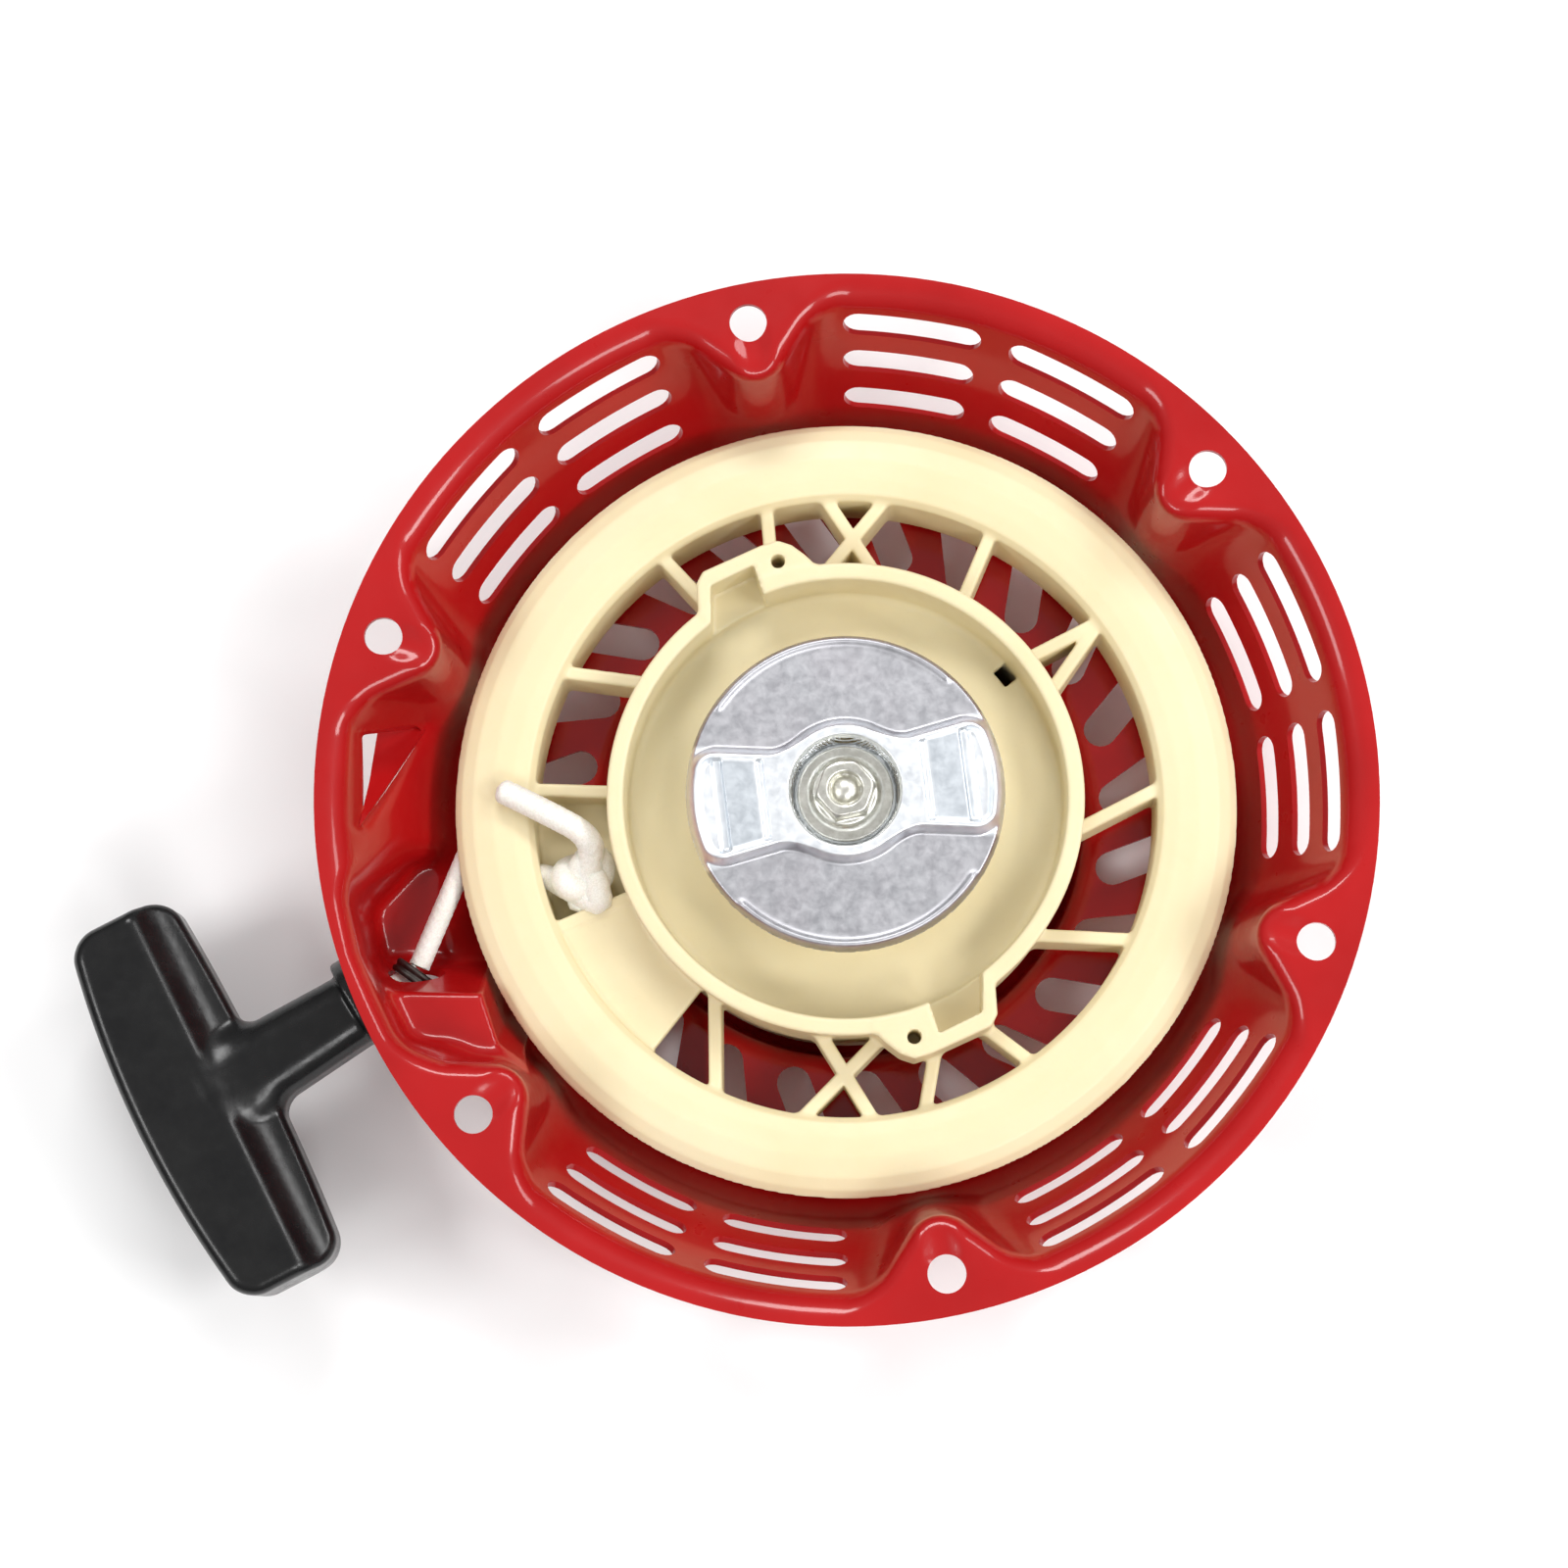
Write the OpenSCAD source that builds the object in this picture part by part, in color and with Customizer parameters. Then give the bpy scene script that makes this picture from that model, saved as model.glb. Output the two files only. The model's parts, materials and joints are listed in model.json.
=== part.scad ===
// Recoil starter of a small engine: stamped housing, sprung rope reel, pawls and pull grip.
// The origin is the centre of the bolt circle on the mounting face, and +Z points to the engine.

/* [Housing] */
// Radius of the circle that the six bolts lie on
bolt_circle_r = 111; // [110.5:0.1:111.5]
// Radius of each bolt hole
bolt_hole_r = 4.3; // [3.5:0.1:4.5]
// Angle of the first bolt hole
bolt_angle = 41.5; // [41.5:0.1:41.5]
// Outer radius of the flange
flange_r = 120.3; // [119.5:0.1:121]
// Thickness of the steel sheet
sheet = 1.5; // [1.2:0.1:1.6]
// Depth of the dish floor below the mounting face
floor_depth = 46; // [46:0.5:47]
// Depth of the spring cup below the mounting face
cup_depth = 60; // [60:0.5:62]
// Width of a ventilation slot in the cone
wall_slot_w = 7; // [5:0.5:7.5]
// Width of a ventilation slot in the floor
floor_slot_w = 8; // [6:0.5:8.5]

/* [Reel] */
// Outer radius of the reel's rim
reel_r = 91.3; // [90:0.1:91.5]
// Radius of the bottom of the rope groove
groove_r = 75.5; // [75.5:0.1:75.6]
// Outer radius of the hub cup
hub_r = 54.5; // [54:0.1:54.8]
// Wall of the hub cup
hub_wall = 4; // [3:0.5:4]
// Radius of the post that the reel turns on
post_r = 9; // [8:0.5:9]
// Radial clearance of each running fit
fit = 0.07; // [0.05:0.01:0.1]

/* [Rope and grip] */
// Diameter of the rope
rope_d = 5; // [4.5:0.5:5]
// Height of the rope's straight run
rope_z = -31; // [-31.5:0.5:-30.5]
// Direction in which the grip is pulled
pull_angle = 211.5; // [209:0.5:213]
// Half length of the grip's bar
bar_half = 47.5; // [44:0.5:49]
// Lean of the bar away from square to the neck
bar_lean = -6.5; // [-7:0.5:0]

/* [Ratchet] */
// Radius of the guide plate
guide_r = 36.5; // [36:0.1:37]
// Radius of the circle that the pawl pins lie on
pawl_pin_circle_r = 25; // [25:0.5:25]
// Angle of the guide plate's raised band
band_angle = 7; // [7:1:7]

/* [Hidden] */
$fn = 96;

// Housing: the cone runs from the flange down to the floor, and the cup is pressed out of the floor.
cone_top_r = 114.9;
cone_bottom_r = 91.9;
cup_top_r = 57.5;
cup_bottom_r = 55.5;
cone_slope = (cone_top_r - cone_bottom_r) / floor_depth;
cone_tilt = atan(cone_slope);
pad_tip_r = 98.3;
pad_round = 8.5;
pad_side_angle = 43.5;
roof_z = -17.5;

// Rope path: tangent to the winding, then straight to the eyelet, then along the pull direction.
winding_r = groove_r + rope_d / 2 + 0.1;
eyelet = [-100.2, -38.7];
eyelet_far = norm(eyelet);
tangent_angle = atan2(eyelet[1], eyelet[0]) - acos(winding_r / eyelet_far);
tangent = winding_r * [cos(tangent_angle), sin(tangent_angle)];
lead_angle = atan2(eyelet[1] - tangent[1], eyelet[0] - tangent[0]);
lead_length = norm(eyelet - tangent);
wall_angle = 55;

// Reel levels
reel_face_z = -23;
reel_back_z = -43.8;
hub_rim_z = -13;
hub_floor_z = -27;
hub_end_z = -57;
deck_z = -16.8;

// Ratchet levels
pawl_top_z = -10.4;
pawl_h = 6;
plate_top_z = -5.7;
plate_t = 1.5;
band_rise = 2.5;
dish_z = -10.8;
pawl_angles = [band_angle - 50, band_angle + 130];
leg_r = 27.4;

function unit(v) = v / norm(v);
function left(v) = [-v[1], v[0]];
function polar(r, a) = r * [cos(a), sin(a)];

// Corner i of an open line, moved sideways by t along the mean of its two sides' normals
function shifted(p, i, t) =
  let(
    a = unit(p[min(i, len(p) - 2) + 1] - p[min(i, len(p) - 2)]),
    b = i > 0 ? unit(p[i] - p[i - 1]) : a,
    n = left(a),
    m = left(b)
  )
  p[i] + t * (n + m) / (1 + n * m);

// Arc of radius r that rounds the corner b between a and c
function rounded(a, b, c, r, steps = 5) =
  let(
    u = unit(a - b),
    v = unit(c - b),
    half = acos(u * v) / 2,
    centre = b + unit(u + v) * r / sin(half),
    from = b + u * r / tan(half) - centre,
    to = b + v * r / tan(half) - centre,
    start = atan2(from[1], from[0]),
    turn = atan2(to[1], to[0]) - start,
    sweep = turn > 180 ? turn - 360 : turn < -180 ? turn + 360 : turn
  )
  [for (k = [0:steps]) centre + polar(r, start + sweep * k / steps)];

// Line through the corners p with each inner corner rounded to radius r[i]
function bent(p, r) = [
  p[0],
  for (i = [1:len(p) - 2]) each rounded(p[i - 1], p[i], p[i + 1], r[i]),
  p[len(p) - 1]
];

module sector(r1, r2, a1, a2, z1, z2) {
  translate([0, 0, z1])
    linear_extrude(z2 - z1)
      intersection() {
        difference() {
          circle(r2);
          circle(r1);
        }
        polygon([[0, 0], 2 * polar(r2, a1), 2 * polar(r2, (a1 + a2) / 2), 2 * polar(r2, a2)]);
      }
}

module ring(r1, r2, z1, z2) {
  translate([0, 0, z1])
    linear_extrude(z2 - z1)
      difference() {
        circle(r2);
        circle(r1);
      }
}

// Slot with round ends, long axis along Y, cut along Z
module slot(length, width, depth) {
  for (s = [-1, 1])
    translate([0, s * (length - width) / 2, -depth / 2])
      cylinder(h = depth, d = width, $fn = 32);
  cube([width, length - width, depth], center = true);
}

// Rib between two points given by radius and angle
module rib(r1, a1, r2, a2, width, z1, z2) {
  p = polar(r1, a1);
  q = polar(r2, a2);
  side = left(unit(q - p)) * width / 2;
  translate([0, 0, z1])
    linear_extrude(z2 - z1)
      polygon([p - side, q - side, q + side, p + side]);
}

// ---- Housing ----

dish_line = [
  [flange_r, 0],
  [cone_top_r, 0],
  [cone_bottom_r, -floor_depth],
  [cup_top_r, -floor_depth],
  [cup_bottom_r, -cup_depth],
  [0, -cup_depth]
];
dish_rounds = [0, 2, 7, 5, 3];
dish_outer_rounds = [0, 2 + sheet, 7 + sheet, 5 - sheet, 3 + sheet];
dish_outer_line = [for (i = [0:len(dish_line) - 1]) shifted(dish_line, i, sheet)];

module dish_sheet() {
  inner = bent(dish_line, dish_rounds);
  outer = bent(dish_outer_line, dish_outer_rounds);
  rotate_extrude($fn = 180)
    polygon(concat(inner, [for (i = [len(outer) - 1:-1:0]) [max(0, outer[i][0]), outer[i][1]]]));
}

// Space inside the dish, up to 1 mm above the mounting face
module dish_space(line, rounds) {
  points = bent(line, rounds);
  inner = [for (i = [1:len(points) - 1]) [max(0, points[i][0]), points[i][1]]];
  rotate_extrude($fn = 180)
    polygon(concat([[0, 1], [inner[0][0], 1]], inner));
}

// Plan of a bolt pad: a rounded V that opens towards the flange, drawn s inside its outline
module pad_outline(s) {
  r = pad_round - s;
  centre = pad_tip_r + pad_round;
  foot = [centre, 0] + polar(r, 90 + pad_side_angle);
  far = foot + polar(30, pad_side_angle);
  translate([centre, 0])
    circle(r, $fn = 48);
  polygon([foot, far, [far[0], -far[1]], [foot[0], -foot[1]]]);
}

module at_pads() {
  for (k = [0:5])
    rotate(bolt_angle + 60 * k)
      children();
}

module prism(z1, z2) {
  translate([0, 0, z1])
    linear_extrude(z2 - z1)
      children();
}

// Plan of the pressed-in box that the grip's rope leaves through, with its front edge at the eyelet
box_front = [-cos(90 - wall_angle), sin(90 - wall_angle)];
module box_outline(s) {
  inward = polar(s, wall_angle + 180);
  base = eyelet + polar(sheet / 2, wall_angle) + inward;
  polygon([
    base + 24 * box_front,
    base + (s - 19) * box_front,
    [-79.5 - s, -56.5],
    [-72.5 - s, -61.5],
    [-108, -70],
    [-135, -52]
  ]);
}

// Plan of the bulge that takes the rope out to the eyelet
bulge_line = [
  [-84, -10], [-99, -11], [-106, -15], [-110.4, -24], [-107.7, -34], [-100, -52], [-84, -46]
];
module bulge_outline(s) {
  n = len(bulge_line);
  polygon([
    for (i = [0:n - 1])
      let(
        a = unit(bulge_line[i] - bulge_line[(i + n - 1) % n]),
        b = unit(bulge_line[(i + 1) % n] - bulge_line[i])
      )
      bulge_line[i] - s * (left(a) + left(b)) / (1 + left(a) * left(b))
  ]);
}

bulge_floor_z = -40.5;
module outlet() {
  difference() {
    prism(bulge_floor_z - sheet, -sheet) bulge_outline(sheet);
    dish_space(dish_line, dish_rounds);
  }
}

module wall_slots() {
  rows = [[-8.7, 32.5], [-19.7, 31], [-31.2, 29]];
  for (k = [0:5])
    if (k != 2)
      for (side = [-1, 1])
        for (row = rows)
          rotate(bolt_angle + 30 + 60 * k + side * 10.2)
            translate([cone_top_r + row[0] * cone_slope, 0, row[0]])
              rotate([0, 90 + cone_tilt, 0])
                slot(row[1], wall_slot_w, 12);
}

module floor_slots() {
  for (k = [0:23])
    rotate(7.5 + 15 * k)
      translate([72, 0, -floor_depth])
        rotate(-90 + 28)
          slot(25, floor_slot_w, 8);
}

module housing() {
  color("firebrick")
    difference() {
      union() {
        dish_sheet();
        outlet();
        intersection() {
          union() {
            at_pads() prism(-floor_depth, 0) pad_outline(0);
            prism(-floor_depth, roof_z) box_outline(0);
          }
          dish_space(dish_outer_line, dish_outer_rounds);
        }
      }
      difference() {
        prism(bulge_floor_z, -sheet / 2) bulge_outline(0);
        prism(bulge_floor_z, 1) box_outline(0);
        at_pads() prism(-floor_depth, 1) pad_outline(0);
      }
      at_pads() prism(-floor_depth - 10, -sheet) pad_outline(sheet);
      prism(-floor_depth - 10, roof_z - sheet) box_outline(sheet);
      at_pads()
        translate([bolt_circle_r, 0, -10])
          cylinder(h = 20, r = bolt_hole_r);
      wall_slots();
      floor_slots();
      prism(-floor_depth, 1) polygon([[-97.5, 19], [-111, 13], [-111, -7]]);
      translate([eyelet[0], eyelet[1], rope_z])
        rotate([0, 90, wall_angle])
          cylinder(h = 14, r = eyelet_seat_r, center = true);
    }
}

// ---- Pieces fixed to the housing ----

spigot_r = 6;
shoulder_z = -18.5;
hook_z = -43;
screw_bore_r = 3.05;

module centre_post() {
  color("silver")
    difference() {
      union() {
        ring(0, 17, -cup_depth, -cup_depth + 2.2);
        ring(0, post_r, -cup_depth, shoulder_z);
        ring(0, spigot_r, shoulder_z - 1, dish_z + 0.05);
        rotate(196)
          translate([post_r - 1, -2, -cup_depth + 2])
            cube([3.2, 4, hook_z + cup_depth - 2]);
      }
      translate([0, 0, -46])
        cylinder(h = 60, r = screw_bore_r);
    }
}

eyelet_hole_r = 3.95;
eyelet_bead_r = 1.15;
eyelet_half = 1.9;
eyelet_seat_r = eyelet_hole_r + 1.55;

module rope_eyelet() {
  color("gainsboro")
    translate([eyelet[0], eyelet[1], rope_z])
      rotate([0, 90, wall_angle])
        rotate_extrude($fn = 64)
          union() {
            for (s = [-1, 1])
              translate([eyelet_hole_r + eyelet_bead_r, s * eyelet_half])
                circle(eyelet_bead_r, $fn = 24);
            translate([eyelet_hole_r, -eyelet_half])
              square([1.5, 2 * eyelet_half]);
          }
}

flange_screw_r = 11;
hex_flats = 12;

module setting_screw() {
  color("lightgray")
    difference() {
      union() {
        ring(0, flange_screw_r, dish_z + 0.1, dish_z + 1.5);
        ring(0, 8, dish_z + 1.4, dish_z + 2.6);
        translate([0, 0, dish_z + 1.4])
          rotate(12)
            cylinder(h = 8.3, r = hex_flats / 2 / cos(30), $fn = 6);
        ring(0, screw_bore_r - 0.05, -40, dish_z + 1);
      }
      translate([0, 0, dish_z + 8])
        cylinder(h = 5, r = 3.6);
    }
}

// Round wire swept along a helix: r is the coil's radius, w the wire's radius
module coil_spring(r, w, z1, z2, turns) {
  sides = 8;
  steps = ceil(turns * 28);
  function spot(i, j) =
    let(
      a = 360 * turns * i / steps,
      b = 360 * j / sides,
      rr = r + w * cos(b)
    )
    [rr * cos(a), rr * sin(a), z1 + w + (z2 - z1 - 2 * w) * i / steps + w * sin(b)];
  points = [for (i = [0:steps]) for (j = [0:sides - 1]) spot(i, j)];
  skin = [
    for (i = [0:steps - 1])
      for (j = [0:sides - 1])
        let(a = i * sides + j, b = i * sides + (j + 1) % sides)
        each [[a, b, b + sides], [a, b + sides, a + sides]]
  ];
  polyhedron(
    points,
    concat(skin, [[for (j = [sides - 1:-1:0]) j]], [[for (j = [0:sides - 1]) steps * sides + j]])
  );
}

module friction_spring() {
  color("darkgray")
    coil_spring(7.7, 0.6, shoulder_z + 0.1, dish_z - plate_t - 0.15, 3);
}

// Rope cylinder from p towards an angle in the rope's plane
module straight_rope(p, angle, from, to) {
  translate([p[0], p[1], rope_z])
    rotate([0, 90, angle])
      translate([0, 0, from])
        cylinder(h = to - from, d = rope_d, $fn = 32);
}

lead_clear = sqrt(pow(winding_r + rope_d + 0.6, 2) - pow(winding_r, 2));
module rope_lead() {
  color("white")
    straight_rope(tangent, lead_angle, lead_clear, lead_length - 2);
}

// ---- Reel ----

spokes = [
  [93.7, 80], [82.4, 97.6], [62, 60], [36, 39.5], [36, 28], [3.3, -7.2], [-25.4, -35.2],
  [-54.5, -61.7], [-75.9, -65.2], [-85, -97], [-98.2, -78.8], [-114, -125],
  [154.4, 147], [126, 123.3], [104.5, 108.3], [185, 183]
];
rim_inner_r = 72.7;
rim_line = [
  [rim_inner_r, reel_back_z], [rim_inner_r, -25.5], [73.7, -24], [77, -23.2], [82, reel_face_z],
  [87, -23.9], [90.2, -25.6], [reel_r, -27], [90.6, -27.6], [groove_r, -26.2],
  [groove_r, -42], [90, -42.3], [90.4, -43.1], [90, reel_back_z]
];

bump_angles = [97.5, 277.5];
module hub_bump(a) {
  sector(hub_r - 2, 62.7, a, a + 26.5, -30, hub_rim_z);
  sector(hub_r - 2, 59.5, a - 6, a + 1, -30, hub_rim_z);
}

// Pocket that opens into the hub cup, and the small hole beside it
module hub_bump_cuts(a) {
  sector(hub_r - 8, 59, a + 10.5, a + 23.5, hub_floor_z, 0);
  rotate(a + 8)
    translate([58, 0, -24])
      cylinder(h = 20, r = 1.6, $fn = 24);
}

module reel() {
  color("lemonchiffon")
    difference() {
      union() {
        rotate_extrude($fn = 180)
          polygon(rim_line);
        ring(hub_r - hub_wall, hub_r, -43, hub_rim_z);
        ring(50.5, 53.7, hub_end_z, -42.9);
        ring(0, hub_r - 1, hub_floor_z - 3, hub_floor_z);
        ring(0, 33, hub_floor_z - 1, deck_z);
        ring(0, 14, -42.5, hub_floor_z);
        for (k = [0:5])
          rotate(60 * k + 20)
            translate([11, -1.5, -42.5])
              cube([41, 3, 13]);
        for (s = spokes)
          rib(73.5, s[0], hub_r - 1.5, s[1], 3.2, -42, -26);
        sector(hub_r - 1, 73.5, 202, 232, -31, -27.5);
        sector(hub_r - 1, 73.5, 182, 202.5, -40, -37);
        rib(73.5, 203, hub_r - 1, 203, 2.6, -40, -27.5);
        for (a = bump_angles)
          hub_bump(a);
      }
      for (a = bump_angles)
        hub_bump_cuts(a);
      translate([0, 0, -70])
        cylinder(h = 70, r = post_r + fit);
      rotate(39.4)
        translate([46.6, -2.3, hub_floor_z - 5])
          cube([3.8, 4.6, 10]);
      for (a = pawl_angles)
        rotate(a)
          translate([pawl_pin_circle_r, 0, -40]) {
            cylinder(h = 40, r = pin_r);
            translate([0, 0, deck_z - 2.2 + 40])
              cylinder(h = 10, r = 6.2);
          }
      rotate(193)
        translate([60, 0, rope_z])
          rotate([0, 90, 0])
            cylinder(h = 20, r = rope_d / 2 + 0.4, $fn = 32);
    }
}

module rope_winding() {
  color("white")
    for (z = [-29.2, -34.3, -39.4])
      rotate_extrude($fn = 120)
        translate([winding_r, z])
          circle(d = rope_d, $fn = 24);
}

// Overhand knot beside the rim wall: lobes on a small triangle, with the stub that enters the
// rim and the loose tail that lies over the reel's face
knot_centre = [-62.5, -16.5];
module rope_knot() {
  color("white") {
    for (k = [0:2])
      translate(concat(knot_centre + polar(3.4, 120 * k + 40), -31.5))
        sphere(d = 7.6, $fn = 24);
    translate(concat(knot_centre + polar(1, 100), -27.5))
      sphere(d = 8, $fn = 24);
    rotate(193)
      translate([64, 0, rope_z])
        rotate([0, 90, 0])
          cylinder(h = groove_r - 64 - 0.1, d = rope_d, $fn = 32);
    rope_tail();
  }
}

tail_route = [
  [-62, -14, -27], [-60.5, -11, -24.8], [-61.5, -8.6, -22.8], [-65, -6.6, -21.2], [-70, -3.8, -20.3],
  [-75, -0.6, -20.2], [-79.5, 2.2, -20.3]
];
module rope_tail() {
  swept(tail_route, rope_d / 2, 8);
}

// Round tube along a list of points
module swept(route, r, sides) {
  n = len(route);
  function heading(i) = unit(route[min(i + 1, n - 1)] - route[max(i - 1, 0)]);
  function across(i) = unit(cross(heading(i), [0, 0, 1]));
  function upright(i) = cross(across(i), heading(i));
  points = [
    for (i = [0:n - 1])
      for (j = [0:sides - 1])
        route[i] + r * (cos(360 * j / sides) * across(i) + sin(360 * j / sides) * upright(i))
  ];
  skin = [
    for (i = [0:n - 2])
      for (j = [0:sides - 1])
        let(a = i * sides + j, b = i * sides + (j + 1) % sides)
        each [[a, b, b + sides], [a, b + sides, a + sides]]
  ];
  polyhedron(
    points,
    concat(skin, [[for (j = [sides - 1:-1:0]) j]], [[for (j = [0:sides - 1]) (n - 1) * sides + j]])
  );
}

// Flat strip wound in a spiral: most turns lie at the chamber's wall and the last one runs in
// to the hook on the post
strip = 0.6;
spring_turns = 11;
steps_per_turn = 30;
function spring_r(t) = t < 1 ? 13 + 22.5 * pow(t, 1.4) : 35.5 + 13.6 * (t - 1) / (spring_turns - 1);
module main_spring() {
  n = spring_turns * steps_per_turn;
  inner = [for (i = [0:n]) polar(spring_r(i / steps_per_turn), 202 + 360 * i / steps_per_turn)];
  outer = [for (i = [n:-1:0]) polar(spring_r(i / steps_per_turn) + strip, 202 + 360 * i / steps_per_turn)];
  color("slategray")
    prism(hub_end_z + 0.8, -44)
      polygon(concat(inner, outer));
}

// ---- Pawls ----

pin_r = 3;

module pawl_pin(a) {
  color("silver")
    rotate(a)
      translate([pawl_pin_circle_r, 0, -24.8])
        cylinder(h = pawl_top_z + 24.8 - 0.1, r = pin_r - 0.02);
}
module pawl_pin_a() {
  pawl_pin(pawl_angles[0]);
}
module pawl_pin_b() {
  pawl_pin(pawl_angles[1]);
}

module pawl_spring(a) {
  color("darkgray")
    rotate(a)
      translate([pawl_pin_circle_r, 0, 0])
        coil_spring(4.6, 0.4, deck_z - 2.1, deck_z - 0.1, 1.3);
}
module pawl_spring_a() {
  pawl_spring(pawl_angles[0]);
}
module pawl_spring_b() {
  pawl_spring(pawl_angles[1]);
}

module pawl(a) {
  color("dimgray")
    rotate(a)
      translate([pawl_pin_circle_r, 0, pawl_top_z - pawl_h])
        difference() {
          union() {
            cylinder(h = pawl_h, r = 6);
            linear_extrude(pawl_h)
              polygon([
                [-4, 0], [-5.2, 5], [-1.8, 14], [-2.6, 22.5], [-1.2, 23.5],
                [2, 23.5], [4.6, 19], [5.8, 12], [5.2, 0]
              ]);
          }
          translate([0, 0, -1])
            cylinder(h = pawl_h + 2, r = pin_r - 0.02 + fit);
        }
}
module pawl_a() {
  pawl(pawl_angles[0]);
}
module pawl_b() {
  pawl(pawl_angles[1]);
}

// ---- Guide plate ----

// Plan of the raised band: a ring with two arms that widen to the rim, drawn s inside its outline
module band_outline(s) {
  circle(16.5 - s);
  intersection() {
    circle(guide_r - s);
    for (side = [0, 180])
      rotate(band_angle + side)
        polygon([[0, s - 11], [19, s - 9.5], [40, s - 16], [40, 14 - s], [19, 9.5 - s], [0, 11 - s]]);
  }
}

module guide_plate() {
  color("lightsteelblue")
    difference() {
      union() {
        ring(0, guide_r, plate_top_z - plate_t, plate_top_z);
        prism(plate_top_z - plate_t, plate_top_z + band_rise) band_outline(0);
        ring(0, 13.5, dish_z - plate_t, plate_top_z);
        for (side = [0, 180])
          rotate(band_angle + side)
            translate([leg_r, -2, pawl_top_z - 3])
              cube([1.8, 4, plate_top_z - plate_t - pawl_top_z + 4]);
      }
      difference() {
        prism(plate_top_z - plate_t - 1, plate_top_z + band_rise - plate_t) band_outline(plate_t);
        ring(0, 13.5, -30, 0);
        for (side = [0, 180])
          rotate(band_angle + side)
            translate([leg_r, -2, -30])
              cube([1.8, 4, 40]);
      }
      ring(0, 12, dish_z, 5);
      translate([0, 0, -20])
        cylinder(h = 20, r = spigot_r + fit);
    }
}

// ---- Grip ----

collar_at = 13;
bar_at = [58.8, 1];
grip_thick = 23;

module at_eyelet() {
  translate([eyelet[0], eyelet[1], rope_z])
    rotate(pull_angle)
      children();
}

function arc(centre, r, from, to, steps) =
  [for (k = [0:steps]) centre + polar(r, from + (to - from) * k / steps)];

module bar_plan() {
  bow = 240;
  reach = asin((bar_half - 5) / bow);
  polygon(concat(
    arc([-6.5, -bar_half + 7], 7, 180, 270, 5),
    arc([8.3, -bar_half + 4], 4, 270, 345, 4),
    arc([16 - bow, 0], bow, -reach, reach, 10),
    arc([8.3, bar_half - 4], 4, 15, 90, 4),
    arc([-6.5, bar_half - 7], 7, 90, 180, 5)
  ));
}

module bar_section() {
  polygon([
    [-13.6, -6], [-12.4, -8.5], [-8, -10.6], [-3.5, -grip_thick / 2], [11, -grip_thick / 2],
    [14.6, -9.6], [16.4, -5.5], [16.6, 5.5], [14.6, 9.6], [11, grip_thick / 2],
    [-3.5, grip_thick / 2], [-6, 9.4], [-12.4, 5.6], [-13.6, 3]
  ]);
}

module grip() {
  color([0.08, 0.08, 0.08])
    at_eyelet()
      difference() {
        union() {
          translate([bar_at[0], bar_at[1], 0])
            rotate(bar_lean)
              intersection() {
                prism(-20, 20) bar_plan();
                translate([0, 60, 0])
                  rotate([90, 0, 0])
                    linear_extrude(120)
                      bar_section();
              }
          rotate([0, 90, 0]) {
            translate([0, 0, collar_at])
              cylinder(h = 3.5, r = 12);
            translate([0, 0, collar_at + 3.4])
              cylinder(h = 26.6, r1 = 9, r2 = 10.5);
            translate([0, 0, collar_at + 29.9])
              cylinder(h = 14, r = 10.5);
          }
        }
        rotate([0, 90, 0])
          cylinder(h = 62, d = rope_d + 0.4);
        translate([58, 0, 0])
          rotate([0, 90, 0])
            cylinder(h = 40, r = 7.2);
      }
}

module rope_grip_end() {
  color("white")
    straight_rope(eyelet, pull_angle, 1, 58);
}

module grip_knot() {
  color("white")
    at_eyelet()
      for (k = [0:2])
        translate([62.2, 2.6 * cos(120 * k), 2.6 * sin(120 * k)])
          sphere(d = 7.8, $fn = 24);
}

housing();
centre_post();
rope_eyelet();
setting_screw();
friction_spring();
rope_lead();
reel();
rope_winding();
rope_knot();
main_spring();
pawl_pin_a();
pawl_pin_b();
pawl_spring_a();
pawl_spring_b();
guide_plate();
pawl_a();
pawl_b();
grip();
rope_grip_end();
grip_knot();
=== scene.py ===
"""Looks of the recoil starter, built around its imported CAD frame.

All sizes are in millimetres until a mesh is made of them.
"""
import json
import math

import bmesh
import bpy
import numpy as np
from mathutils import Matrix, Vector


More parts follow.
